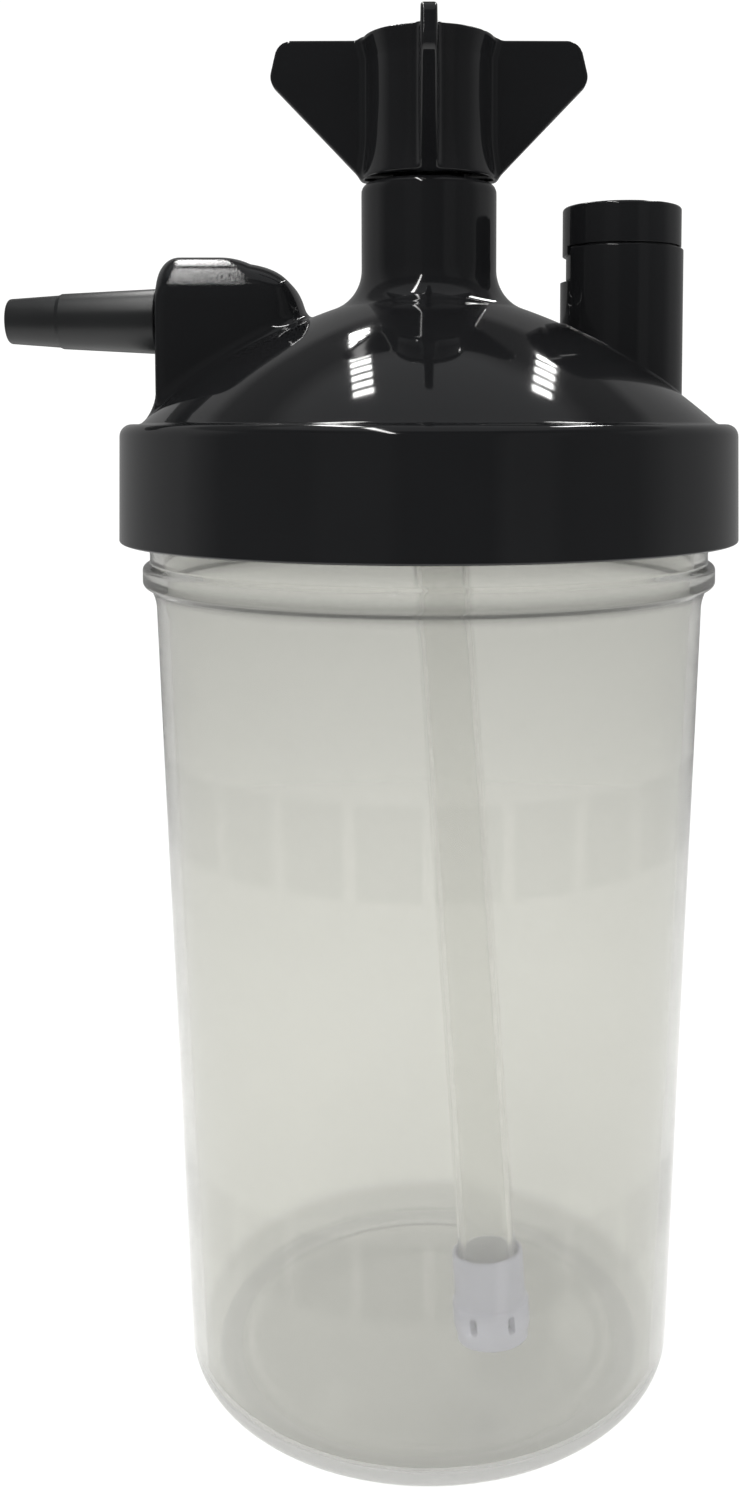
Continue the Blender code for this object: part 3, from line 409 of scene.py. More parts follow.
def thread(wall, crest, root_width, crest_width, pitch, turns, start_z, steps):
    """A right-hand thread ridge that grows out of a wall and fades at both ends."""
    outward = 1.0 if crest > wall else -1.0
    i = np.arange(int(turns * steps) + 1)
    turn = 2.0 * math.pi * i / steps
    middle = start_z + pitch * i / steps
    fade = np.clip(np.minimum(i, i[-1] - i) / (steps / 12.0), 0.0, 1.0)
    fade = fade * fade * (3.0 - 2.0 * fade)
    buried = wall - outward * 0.3
    top = buried + (crest - buried) * fade
    half_root, half_crest = root_width / 2.0 + 0.1, crest_width / 2.0
    profile = [(buried, -half_root), (top, -half_crest), (top, half_crest), (buried, half_root)]
    if outward < 0.0:
        profile.reverse()
    columns = []
    for radius, offset in profile:
        radius = np.broadcast_to(radius, turn.shape)
        columns.append(np.stack([radius * np.cos(turn), radius * np.sin(turn), middle + offset], 1))
    grid = np.stack(columns, axis=1)
    faces = grid_faces(len(turn), 4, False, True).tolist()
    faces.append([3, 2, 1, 0])
    last = (len(turn) - 1) * 4
    faces.append([last, last + 1, last + 2, last + 3])
    return grid.reshape(-1, 3), faces


# ---- distance fields


def union(a, b, radius):
    """Joins two distance fields, with a fillet of about that radius between them."""
    inner = np.hypot(np.maximum(radius - a, 0.0), np.maximum(radius - b, 0.0))
    return np.maximum(np.minimum(a, b), radius) - inner


def overlap(a, b, radius):
    """What two distance fields share, with a rounded edge of about that radius."""
    inner = np.hypot(np.maximum(radius + a, 0.0), np.maximum(radius + b, 0.0))
    return np.minimum(np.maximum(a, b), -radius) + inner


def polygon(corners, a, b):
    """The distance field of a polygon in a plane."""
    corners = np.array(corners, float)
    best = np.full(np.shape(a), 1e9)
    inside = np.zeros(np.shape(a), bool)
    for i in range(len(corners)):
        p, q = corners[i - 1], corners[i]
        edge = q - p
        da, db = a - p[0], b - p[1]
        t = np.clip((da * edge[0] + db * edge[1]) / (edge @ edge), 0.0, 1.0)
        best = np.minimum(best, (da - t * edge[0]) ** 2 + (db - t * edge[1]) ** 2)
        if p[1] != q[1]:
            crosses = (p[1] > b) != (q[1] > b)
            inside ^= crosses & (a < p[0] + (b - p[1]) * edge[0] / edge[1])
    return np.where(inside, -1.0, 1.0) * np.sqrt(best)


def gradient(field, p, step=0.02):
    """A distance field's slope at points, along each axis."""
    slopes = []
    for k in range(3):
        ahead, behind = p.copy(), p.copy()
        ahead[:, k] += step
        behind[:, k] -= step
        slopes.append((field(*ahead.T) - field(*behind.T)) / (2.0 * step))
    return np.stack(slopes, axis=1)


def surface_net(field, low, high, cell):
    """Points, quads and normals of a distance field's zero surface."""
    counts = [int(math.ceil((high[k] - low[k]) / cell)) + 1 for k in range(3)]
    axes = [low[k] + cell * np.arange(counts[k]) for k in range(3)]
    values = field(*np.meshgrid(*axes, indexing="ij"))
    inside = values < 0.0
    cells = tuple(n - 1 for n in counts)
    total = np.zeros(cells + (3,))
    hits = np.zeros(cells, np.int32)
    crossings = []
    for axis in range(3):
        others = [k for k in range(3) if k != axis]
        before = [slice(None)] * 3
        after = [slice(None)] * 3
        before[axis], after[axis] = slice(0, -1), slice(1, None)
        first, second = values[tuple(before)], values[tuple(after)]
        crossing = inside[tuple(before)] != inside[tuple(after)]
        crossings.append((axis, crossing, inside[tuple(before)]))
        share = np.where(crossing, first / np.where(crossing, first - second, 1.0), 0.0)
        index = np.indices(crossing.shape).astype(np.float32)
        for da in (0, 1):
            for db in (0, 1):
                part = [slice(None)] * 3
                part[others[0]] = slice(da, da + cells[others[0]])
                part[others[1]] = slice(db, db + cells[others[1]])
                part = tuple(part)
                hit = crossing[part]
                hits += hit
                for k in range(3):
                    place = index[k][part] + (share[part] if k == axis else 0.0)
                    total[..., k] += np.where(hit, place, 0.0)
    used = hits > 0
    number = np.full(cells, -1, np.int64)
    number[used] = np.arange(used.sum())
    points = np.array(low) + cell * total[used] / hits[used][:, None]
    quads = []
    for axis, crossing, starts_inside in crossings:
        others = [k for k in range(3) if k != axis]
        found = np.argwhere(crossing)
        keep = np.ones(len(found), bool)
        for k in others:
            keep &= (found[:, k] > 0) & (found[:, k] < cells[k])
        found = found[keep]
        corners = []
        for da, db in ((1, 1), (0, 1), (0, 0), (1, 0)):
            cell_index = found.copy()
            cell_index[:, others[0]] -= da
            cell_index[:, others[1]] -= db
            corners.append(number[tuple(cell_index.T)])
        quad = np.stack(corners, axis=1)
        flip = starts_inside[tuple(found.T)] == (axis == 1)
        quad[flip] = quad[flip][:, ::-1]
        quads.append(quad)
    for _ in range(4):
        slope = gradient(field, points)
        size = np.maximum((slope ** 2).sum(axis=1), 0.05)
        step = -slope * (field(*points.T) / size)[:, None]
        length = np.linalg.norm(step, axis=1)[:, None]
        points = points + step * np.minimum(1.0, 0.3 * cell / np.maximum(length, 1e-9))
    normals = gradient(field, points)
    normals /= np.maximum(np.linalg.norm(normals, axis=1), 1e-9)[:, None]
    return points, np.concatenate(quads), normals


# ---- materials


def new_material(name):
    """A new material's node tree and shader."""
    material = bpy.data.materials.new(name)
    material.use_nodes = True
    tree = material.node_tree
    return tree, tree.nodes["Principled BSDF"]


def feed(tree, socket, value):
    """Links another socket to a socket, or sets a number or a colour on it."""
    if isinstance(value, bpy.types.NodeSocket):
        tree.links.new(value, socket)
    elif isinstance(value, tuple):
        socket.default_value = (*value, 1.0)
    elif value is not None:
        socket.default_value = value


def coordinates(tree, kind="Object"):
    """The x, y and z sockets of the place that is shaded."""
    place = tree.nodes.new("ShaderNodeTexCoord")
    parts = tree.nodes.new("ShaderNodeSeparateXYZ")
    tree.links.new(place.outputs[kind], parts.inputs[0])
    return parts.outputs["X"], parts.outputs["Y"], parts.outputs["Z"]


def noise(tree, scale, detail=3.0, roughness=0.5, stretch=None):
    """A noise texture in object space, optionally stretched."""
    place = tree.nodes.new("ShaderNodeTexCoord")
    texture = tree.nodes.new("ShaderNodeTexNoise")
    texture.inputs["Scale"].default_value = scale
    texture.inputs["Detail"].default_value = detail
    texture.inputs["Roughness"].default_value = roughness
    if stretch:
        mapping = tree.nodes.new("ShaderNodeMapping")
        mapping.inputs["Scale"].default_value = stretch
        tree.links.new(place.outputs["Object"], mapping.inputs["Vector"])
        tree.links.new(mapping.outputs["Vector"], texture.inputs["Vector"])
    else:
        tree.links.new(place.outputs["Object"], texture.inputs["Vector"])
    return texture.outputs["Fac"]


def spread(tree, value, low, high, start=0.0, end=1.0):
    """Maps a value that runs from start to end onto low to high."""
    node = tree.nodes.new("ShaderNodeMapRange")
    node.inputs["From Min"].default_value = start
    node.inputs["From Max"].default_value = end
    node.inputs["To Min"].default_value = low
    node.inputs["To Max"].default_value = high
    tree.links.new(value, node.inputs["Value"])
    return node.outputs["Result"]


def mix_colours(tree, share, first, second, mode="MIX"):
    """Mixes two colours; each argument is a socket, or a number or colour."""
    node = tree.nodes.new("ShaderNodeMix")
    node.data_type = "RGBA"
    node.blend_type = mode
    feed(tree, node.inputs[0], share)
    feed(tree, node.inputs[6], first)
    feed(tree, node.inputs[7], second)
    return node.outputs[2]


def colour_ramp(tree, value, stops):
    """Maps a value to a level through (place, level) stops."""
    ramp = tree.nodes.new("ShaderNodeValToRGB")
    while len(ramp.color_ramp.elements) < len(stops):
        ramp.color_ramp.elements.new(0.5)
    for element, (place, level) in zip(ramp.color_ramp.elements, stops):
        element.position = place
        element.color = (level, level, level, 1.0)
    tree.links.new(value, ramp.inputs["Fac"])
    return ramp.outputs["Color"]


def bump(tree, shader, heights):
    """Bumps one after the other: (value, strength, distance in millimetres)."""
    normal = None
    for value, strength, distance in heights:
        node = tree.nodes.new("ShaderNodeBump")
        node.inputs["Strength"].default_value = strength
        node.inputs["Distance"].default_value = distance * MM
        tree.links.new(value, node.inputs["Height"])
        if normal is not None:
            tree.links.new(normal, node.inputs["Normal"])
        normal = node.outputs["Normal"]
    tree.links.new(normal, shader.inputs["Normal"])


def moulded_plastic(name, dark, light, roughness, ripple, grain):
    """Opaque moulded plastic: faint colour and gloss variation, slow ripple and fine grain."""
    tree, shader = new_material(name)
    cloud = noise(tree, 60.0, 4.0)
    tree.links.new(mix_colours(tree, cloud, dark, light), shader.inputs["Base Color"])
    smudge = noise(tree, 140.0, 5.0, 0.6)
    gloss = spread(tree, smudge, roughness[0], roughness[1], 0.3, 0.75)
    tree.links.new(gloss, shader.inputs["Roughness"])
    shader.inputs["IOR"].default_value = 1.49
    slow = noise(tree, 90.0, 1.0)
    fine = noise(tree, 2600.0, 2.0)
    bump(tree, shader, [(slow, ripple[0], ripple[1]), (fine, grain[0], grain[1])])
    return tree, shader


def clear_plastic(name, colour, roughness, haze, ripple):
    """Translucent plastic: rough transmission with some haze and flow ripple in its wall."""
    tree, shader = new_material(name)
    flow = noise(tree, 55.0, 3.0, 0.5, (1.0, 1.0, 0.35))
    gloss = spread(tree, flow, roughness[0], roughness[1], 0.3, 0.7)
    tree.links.new(gloss, shader.inputs["Roughness"])
    shader.inputs["Base Color"].default_value = (*colour, 1.0)
    shader.inputs["Transmission Weight"].default_value = 1.0 - haze
    shader.inputs["IOR"].default_value = 1.22
    fine = noise(tree, 900.0, 2.0)
    bump(tree, shader, [(flow, ripple[0], ripple[1]), (fine, 0.015, 0.01)])
    return tree, shader


def maths(tree, operation, a, b=None):
    """A Math node; a and b are sockets or numbers."""
    node = tree.nodes.new("ShaderNodeMath")
    node.operation = operation
    feed(tree, node.inputs[0], a)
    feed(tree, node.inputs[1], b)
    return node.outputs[0]


def level_bars(tree, x, y, z):
    """1 on the frosted bars of the two level marks moulded round the jar's front, else 0."""
    calc = functools.partial(maths, tree)
    turn = calc("ARCTAN2", x, calc("MULTIPLY", y, -1.0))
    step = calc("FRACT", calc("MULTIPLY", turn, BAR_COUNT / (2.0 * math.pi)))
    edge = calc("ABSOLUTE", calc("SUBTRACT", step, 0.5))
    bars = spread(tree, edge, 1.0, 0.0, BAR_SHARE / 2.0 - 0.01, BAR_SHARE / 2.0 + 0.01)
    rows = None
    for low, high in LEVEL_ROWS:
        middle = (low + high) / 2.0 * MM
        half = (high - low) / 2.0 * MM
        away = calc("ABSOLUTE", calc("SUBTRACT", z, middle))
        row = spread(tree, away, 1.0, 0.0, half - BAR_BLUR * MM, half + BAR_BLUR * MM)
        rows = row if rows is None else calc("MAXIMUM", rows, row)
    front = spread(tree, y, 1.0, 0.0, -0.2 * MM, 0.2 * MM)
    return calc("MULTIPLY", calc("MULTIPLY", bars, rows), front)


def paint_jar_shade_and_marks(tree, shader):
    """Painted shade and highlight on the jar from its floor up to its rim, and its frosted level marks.
    """
    calc = functools.partial(maths, tree)
    x, y, z = coordinates(tree)
    height = spread(tree, z, 0.0, 1.0, 0.0, JAR_HIGH[2] * MM)
    # painted shade and highlight up the wall
    wall = colour_ramp(tree, height, JAR_SHADE_AND_HIGHLIGHT)
    radius = calc("SQRT", calc("ADD", calc("MULTIPLY", x, x), calc("MULTIPLY", y, y)))
    away = spread(tree, radius, 0.0, 1.0, 0.0, JAR_FLOOR_EDGE * MM)
    # painted shade on the jar's floor
    base = colour_ramp(tree, away, JAR_FLOOR_SHADE)
    on_base = spread(tree, z, 1.0, 0.0, JAR_BASE_BLEND[0] * MM, JAR_BASE_BLEND[1] * MM)
    tone = mix_colours(tree, on_base, wall, base)
    tinted_shade = mix_colours(tree, 1.0, tone, JAR_TINT, "MULTIPLY")
    marks = level_bars(tree, x, y, z)
    frosted_shade = mix_colours(tree, marks, tinted_shade, FROST_TINT, "MULTIPLY")
    tree.links.new(frosted_shade, shader.inputs["Base Color"])
    clear = shader.inputs["Roughness"].links[0].from_socket
    roughness = calc("ADD", clear, calc("MULTIPLY", marks, FROST_ROUGHNESS))
    tree.links.new(roughness, shader.inputs["Roughness"])
    absorb = tree.nodes.new("ShaderNodeVolumeAbsorption")
    absorb.inputs["Color"].default_value = (0.0, 0.0, 0.0, 1.0)
    absorb.inputs["Density"].default_value = JAR_DENSITY
    tree.links.new(absorb.outputs["Volume"], tree.nodes["Material Output"].inputs["Volume"])


def eroded_patch(tree, shader):
    """A patch of coarser grain on the outlet block's shoulder, where the mould is worn."""
    x, _, z = coordinates(tree)
    outer = spread(tree, x, 1.0, 0.0, PATCH_ENDS[0] * MM, PATCH_ENDS[1] * MM)
    upper = spread(tree, z, 0.0, 1.0, PATCH_HEIGHTS[0] * MM, PATCH_HEIGHTS[1] * MM)
    worn = maths(tree, "MULTIPLY", outer, upper)
    pits = noise(tree, 2400.0, 3.0, 0.7)
    bumps = tree.nodes.new("ShaderNodeBump")
    bumps.inputs["Distance"].default_value = 0.03 * MM
    tree.links.new(maths(tree, "MULTIPLY", worn, 0.9), bumps.inputs["Strength"])
    tree.links.new(pits, bumps.inputs["Height"])
    tree.links.new(shader.inputs["Normal"].links[0].from_socket, bumps.inputs["Normal"])
    tree.links.new(bumps.outputs["Normal"], shader.inputs["Normal"])


def make_materials():
    """One material for each of the record's material slots."""
    black = moulded_plastic(
        "black_plastic", (0.0070, 0.0072, 0.0078), (0.0105, 0.0108, 0.0116),
        (0.04, 0.08), (0.05, 0.25), (0.010, 0.005),
    )
    eroded_patch(*black)
    moulded_plastic(
        "satin_black_plastic", (0.010, 0.0105, 0.011), (0.017, 0.018, 0.019),
        (0.26, 0.36), (0.06, 0.3), (0.10, 0.02),
    )
    jar = clear_plastic("clear_polypropylene", (0.75, 0.75, 0.71), (0.03, 0.07), 0.14, (0.05, 0.3))
    paint_jar_shade_and_marks(*jar)
    clear_plastic("clear_tube", (0.97, 0.97, 0.955), (0.05, 0.10), 0.10, (0.04, 0.2))
    clear_plastic("lavender_plastic", (0.78, 0.78, 0.88), (0.25, 0.40), 0.45, (0.05, 0.2))
    moulded_plastic(
        "porous_plastic", (0.50, 0.50, 0.52), (0.72, 0.72, 0.74),
        (0.8, 0.95), (0.2, 0.3), (0.8, 0.08),
    )
    moulded_plastic(
        "silicone", (0.64, 0.64, 0.62), (0.72, 0.72, 0.70),
        (0.42, 0.55), (0.05, 0.2), (0.08, 0.02),
    )
    moulded_plastic(
        "black_rubber", (0.010, 0.010, 0.010), (0.016, 0.016, 0.016),
        (0.55, 0.70), (0.05, 0.2), (0.12, 0.02),
    )
    moulded_plastic(
        "acetal", (0.70, 0.70, 0.67), (0.78, 0.78, 0.75),
        (0.30, 0.42), (0.04, 0.2), (0.06, 0.01),
    )
    tree, shader = new_material("spring_steel")
    drawn = noise(tree, 900.0, 4.0, 0.6, (1.0, 1.0, 8.0))
    tone = mix_colours(tree, drawn, (0.50, 0.50, 0.49), (0.66, 0.66, 0.64))
    tree.links.new(tone, shader.inputs["Base Color"])
    tree.links.new(spread(tree, drawn, 0.2, 0.36), shader.inputs["Roughness"])
    shader.inputs["Metallic"].default_value = 1.0
    bump(tree, shader, [(drawn, 0.1, 0.01)])


# The frame's own materials make room for the names used here
for cad_material in list(bpy.data.materials):
    cad_material.name = "cad_" + cad_material.name
make_materials()


# ---- jar


def screw_ridge(wall, outward, start_z):
    """One side of the thread that holds the lid on the jar."""
    crest = wall + outward * THREAD_HEIGHT
    return thread(
        wall, crest, THREAD_ROOT, THREAD_CREST, THREAD_PITCH, THREAD_TURNS, start_z, THREAD_STEPS
    )


def build_jar():
    """The jar: foot with a groove, tapered wall, bead and screw neck."""
    base, top, bead, neck = JAR_BASE_RADIUS, JAR_TOP_RADIUS, JAR_BEAD_RADIUS, JAR_NECK_RADIUS
    body = JAR_HIGH[2] - JAR_NECK_HEIGHT - JAR_BEAD_HEIGHT
    bore = neck - JAR_NECK_WALL
    outline = rounded([
        (AXIS, 0.9),
        (18.0, 0.75, 8.0),
        (24.6, 0.0, 0.8),
        (25.6, JAR_GROOVE_DEPTH, 0.8),
        (26.6, JAR_GROOVE_DEPTH, 0.8),
        (27.6, 0.0, 0.8),
        (base, 0.0, 3.5),
        (top - 0.25, body - 2.2, 6.0),
        (top + 0.35, body - 0.5, 0.8),
        (bead, body + 0.25, 0.9),
        (bead, body + 2.7, 0.8),
        (neck, body + 3.3, 0.35),
        (neck, JAR_HIGH[2], 0.3),
        (bore, JAR_HIGH[2], 0.3),
        (bore, body + 2.6, 3.0),
        (top - 1.65, body - 1.6, 4.0),
        (base - 1.55, JAR_FLOOR_Z, 2.4),
        (AXIS, JAR_FLOOR_Z + 0.3),
    ], 10)
    shell = add_mesh("jar_shell", *lathe(outline), "jar", "clear_polypropylene", ["jar"])
    shell.visible_diffuse = False
    shell.visible_shadow = False
    ridge = screw_ridge(neck, 1.0, THREAD_Z)
    add_mesh("jar_thread", *ridge, "jar", "clear_polypropylene")


def build_gasket():
    """The flat sealing ring on the jar's rim."""
    outer = GASKET_HIGH[0]
    inner = outer - GASKET_WIDTH
    ring = rounded([
        (inner, GASKET_LOW[2], 0.2),
        (outer, GASKET_LOW[2], 0.2),
        (outer, GASKET_HIGH[2], 0.2),
        (inner, GASKET_HIGH[2], 0.2),
    ], 4)
    add_mesh("gasket_ring", *lathe(ring), "gasket", "silicone", ["lid_gasket"])


# ---- lid


def dome_height(r, radius=DOME_RADIUS):
    """The height of the dome's surface at a distance from the axis."""
    return DOME_CENTRE_Z + np.sqrt(radius ** 2 - (r - DOME_CENTRE_R) ** 2)


def dome_and_neck(r, z):
    """The lid's round outside: the dome, and the neck with the fillet at its foot."""
    dome = np.hypot(r - DOME_CENTRE_R, z - DOME_CENTRE_Z) - DOME_RADIUS
    neck = overlap(r - NECK_RADIUS, z - NECK_TOP_Z, NECK_EDGE)
    fillet_r = NECK_RADIUS + NECK_FILLET
    reach = DOME_RADIUS + NECK_FILLET
    across = fillet_r - DOME_CENTRE_R
    fillet_z = DOME_CENTRE_Z + math.sqrt(reach ** 2 - across ** 2)
    towards = np.array([-across, DOME_CENTRE_Z - fillet_z]) / reach
    dr, dz = r - fillet_r, z - fillet_z
    beyond = dz * towards[0] - dr * towards[1]
    fillet = np.maximum(NECK_FILLET - np.hypot(dr, dz), np.maximum(beyond, dz))
    return np.minimum(np.minimum(dome, neck), fillet)


def block(x, y, z, inset=0.0):
    """The outlet block, a tunnel shape with a round back."""
    half = BLOCK_HALF - inset
    top = BLOCK_TOP_Z - inset
    tunnel = np.hypot(y, np.maximum(z - (top - half), 0.0)) - half
    back_x = -(BLOCK_END + BLOCK_BACK)
    back_z = BLOCK_TOP_Z - BLOCK_BACK
    back = np.hypot(np.maximum(x - back_x, 0.0), np.maximum(z - back_z, 0.0)) - (BLOCK_BACK - inset)
    back = back - BLOCK_BACK_LEAN * np.maximum(back_x + BLOCK_LEAN_START - x, 0.0)
    end_x = -(BLOCK_END + BLOCK_HALF)
    plan = np.hypot(np.maximum(x - end_x, 0.0), y) - half
    return overlap(overlap(tunnel, plan, 0.6), back, BLOCK_EDGE if inset == 0.0 else 1.0)


def block_front(x, z):
    """How far outside the block's front face, and the radius of its edge at that height."""
    climb = np.clip((z - (BLOCK_TOP_Z - 8.0)) / 7.0, 0.0, 1.0)
    return BLOCK_FACE_X - x, 1.1 + 1.7 * climb * climb * (3.0 - 2.0 * climb)


def lid_field(x, y, z):
    """The lid's dome, neck and outlet block with their hollows, without skirt and tower."""
    r = np.hypot(x, y)
    front, edge = block_front(x, z)
    solid = union(dome_and_neck(r, z), overlap(block(x, y, z), front, edge), BLOCK_FILLET)
    under = np.hypot(r - DOME_CENTRE_R, z - DOME_CENTRE_Z) - (DOME_RADIUS - DOME_WALL)
    passage = np.maximum(block(x, y, z, BLOCK_WALL), BLOCK_FACE_X + BLOCK_FACE_WALL - x)
    hollow = np.minimum(under, passage)
    pad = np.maximum(r - CROWN_PAD, CROWN_Z - z)
    spigot = np.maximum(r - SPIGOT_RADIUS, SPIGOT_FOOT_Z - z)
    hollow = np.maximum(hollow, -np.minimum(pad, spigot))
    bore = np.minimum(r - SPIGOT_BORE, np.maximum(r - GLAND_BORE, BORE_FLOOR_Z - z))
    socket_end = BLOCK_FACE_X + BLOCK_FACE_WALL + 1.1
    nipple = np.maximum(np.hypot(y, z - NIPPLE_Z) - NIPPLE_SOCKET, x - socket_end)
    core_top = WELL_FLOOR_Z - WELL_FLOOR_WALL
    core = np.maximum(np.hypot(x - VALVE_X, y) - TOWER_CORE, z - core_top)
    cut = np.minimum(np.minimum(hollow, bore), np.minimum(nipple, core))
    foot = SEAT_Z + 0.9 - z
    return np.maximum(np.maximum(solid, foot), -cut)


def build_dome():
    """The lid's dome, inlet neck and outlet block."""
    low = (-DOME_EDGE - 1.0, -DOME_EDGE - 1.0, SEAT_Z + 0.3)
    high = (DOME_EDGE + 1.0, DOME_EDGE + 1.0, NECK_TOP_Z + 1.0)
    points, quads, normals = surface_net(lid_field, low, high, DOME_CELL)
    add_mesh("lid_dome", points, quads, "lid", "black_plastic", ["lid"], normals)


def build_skirt():
    """The lid's skirt, with its thread inside."""
    foot = LID_LOW[2]
    outline = rounded([
        (SEAT_INNER, SEAT_Z, 0.2),
        (SKIRT_BORE, SEAT_Z, 0.3),
        (SKIRT_BORE, foot + 0.4, 0.3),
        (SKIRT_BORE + 0.5, foot, 0.3),
        (SKIRT_RADIUS, foot, 0.35),
        (SKIRT_RADIUS - 0.25, SHOULDER_Z, 1.7),
        (DOME_EDGE + 0.05, SHOULDER_Z, 1.1),
        (DOME_EDGE - 1.6, dome_height(DOME_EDGE - 1.6) + 0.03),
        (DOME_EDGE - 2.4, SHOULDER_Z + 0.6),
        (SEAT_INNER, SEAT_Z + 3.0),
    ], 10)
    add_mesh("lid_skirt", *lathe(outline, SKIRT_STEPS), "lid", "black_plastic")
    ridge = screw_ridge(SKIRT_BORE, -1.0, THREAD_Z - THREAD_PLAY)
    add_mesh("lid_thread", *ridge, "lid", "black_plastic")


def build_tower():
    """The relief valve's tower, its foot following the middle of the dome's wall."""
    outline = np.concatenate([
        [(TOWER_RADIUS, 0.0)],
        rounded([
            (TOWER_RADIUS, LEDGE_Z),
            (WELL_RADIUS, LEDGE_Z, 0.15),
            (WELL_RADIUS, WELL_FLOOR_Z, 0.3),
            (GAS_HOLE, WELL_FLOOR_Z, 0.2),
            (GAS_HOLE, WELL_FLOOR_Z - WELL_FLOOR_WALL, 0.2),
            (TOWER_CORE, WELL_FLOOR_Z - WELL_FLOOR_WALL, 0.3),
        ], 4),
        [(TOWER_CORE, 0.0)],
    ])
    grid = ring_grid(outline, TOWER_STEPS, centre=(VALVE_X, 0.0))
    for column in (0, len(outline) - 1):
        r = np.hypot(grid[:, column, 0], grid[:, column, 1])
        grid[:, column, 2] = dome_height(r, DOME_RADIUS - DOME_WALL / 2.0)
    faces = grid_faces(*grid.shape[:2], True, True)
    add_mesh("valve_tower", grid.reshape(-1, 3), faces, "lid", "black_plastic")
    lip = rounded([
        (TOWER_RADIUS - LIP_WALL, LEDGE_Z - 0.01),
        (TOWER_RADIUS, LEDGE_Z - 0.01),
        (TOWER_RADIUS, TOWER_TOP_Z, 0.22),
        (TOWER_RADIUS - LIP_WALL, TOWER_TOP_Z, 0.22),
    ], 5)
    start = WINDOW_MIDDLE + WINDOW_ANGLE / 2.0
    add_mesh(
        "valve_tower_lip",
        *sector(lip, 152, start, 2.0 * math.pi - WINDOW_ANGLE, (VALVE_X, 0.0)),
        "lid", "black_plastic",
    )
    add_mesh("tower_fillet", *tower_fillet(0.45), "lid", "black_plastic")


def tower_fillet(size):
    """A small fillet where the tower meets the dome."""
    turns = full_turn(TOWER_STEPS)
    outward = np.stack([np.cos(turns), np.sin(turns)], axis=1)
    buried = 0.02
    rows = []
    for a in np.linspace(0.0, math.pi / 2.0, 7):
        away = size * (1.0 - math.sin(a)) - buried
        climb = size * (1.0 - math.cos(a)) - buried
        xy = np.array([VALVE_X, 0.0]) + outward * (TOWER_RADIUS + away)
        rows.append(np.column_stack([xy, dome_height(np.hypot(xy[:, 0], xy[:, 1])) + climb]))
    grid = np.stack(rows, axis=1)
    return grid.reshape(-1, 3), grid_faces(TOWER_STEPS, len(rows), True, False)


# ---- wing nut and gland


def nut_field(x, y, z):
    """The wing nut: waisted hub, four wings, threaded bore and the pocket for the gland."""
    r = np.hypot(x, y)
    h = z - NUT_FOOT_Z
    low = np.clip((NUT_WAIST_HEIGHT - h) / NUT_WAIST_HEIGHT, 0.0, 1.0)
    high = np.clip((h - (NUT_HEIGHT - NUT_RIM_HEIGHT)) / NUT_RIM_HEIGHT, 0.0, 1.0)
    hub = r - (NUT_WAIST_RADIUS + NUT_FLARE * low * low + NUT_FLARE * high)
    hub = overlap(hub, np.abs(h - NUT_HEIGHT / 2.0) - NUT_HEIGHT / 2.0, 0.45)
    along, across = np.maximum(np.abs(x), np.abs(y)), np.minimum(np.abs(x), np.abs(y))
    top = NUT_HEIGHT - 0.3
    root = WING_ROOT_HEIGHT + 1.3
    outline = polygon([
        (4.0, top - WING_CORNER),
        (WING_SPAN - 0.6 - WING_CORNER, top - WING_CORNER),
        (WING_SPAN - WING_CORNER, top - 4.9),
        (WING_ROOT_RADIUS + 0.2 - WING_CORNER, root),
        (4.0, root),
    ], along, h) - WING_CORNER
    thickness = WING_THICKNESS + WING_TAPER * (WING_SPAN - along)
    wings = overlap(outline, across - thickness, 0.4)
    solid = union(hub, wings, 1.2)
    bore = np.minimum(
        np.maximum(r - NUT_THREAD_MAJOR, NUT_POCKET_TOP - h),
        np.minimum(np.maximum(r - NUT_POCKET_RADIUS, NUT_WEB - h), r - GLAND_BORE),
    )
    mouth = (r - NUT_THREAD_MAJOR - (h - (NUT_HEIGHT - 0.5))) * 0.7071
    bore = np.minimum(bore, np.maximum(mouth, NUT_HEIGHT - 1.5 - h))
    return np.maximum(solid, -bore)


def build_nut():
    """The wing nut and the thread in its bore."""
    low = (-WING_SPAN - 1.0, -WING_SPAN - 1.0, NUT_FOOT_Z - 1.0)
    high = (WING_SPAN + 1.0, WING_SPAN + 1.0, NUT_FOOT_Z + NUT_HEIGHT + 1.0)
    points, quads, normals = surface_net(nut_field, low, high, NUT_CELL)
    add_mesh("wing_nut", points, quads, "wing_nut", "black_plastic", ["inlet_wing_nut"], normals)
    start_z = NUT_FOOT_Z + NUT_POCKET_TOP + 1.4
    ridge = thread(
        NUT_THREAD_MAJOR, NUT_THREAD_MINOR, NUT_THREAD_ROOT, NUT_THREAD_CREST,
        NUT_THREAD_PITCH, NUT_THREAD_TURNS, start_z, NUT_THREAD_STEPS,
    )
    add_mesh("nut_thread", *ridge, "wing_nut", "black_plastic")


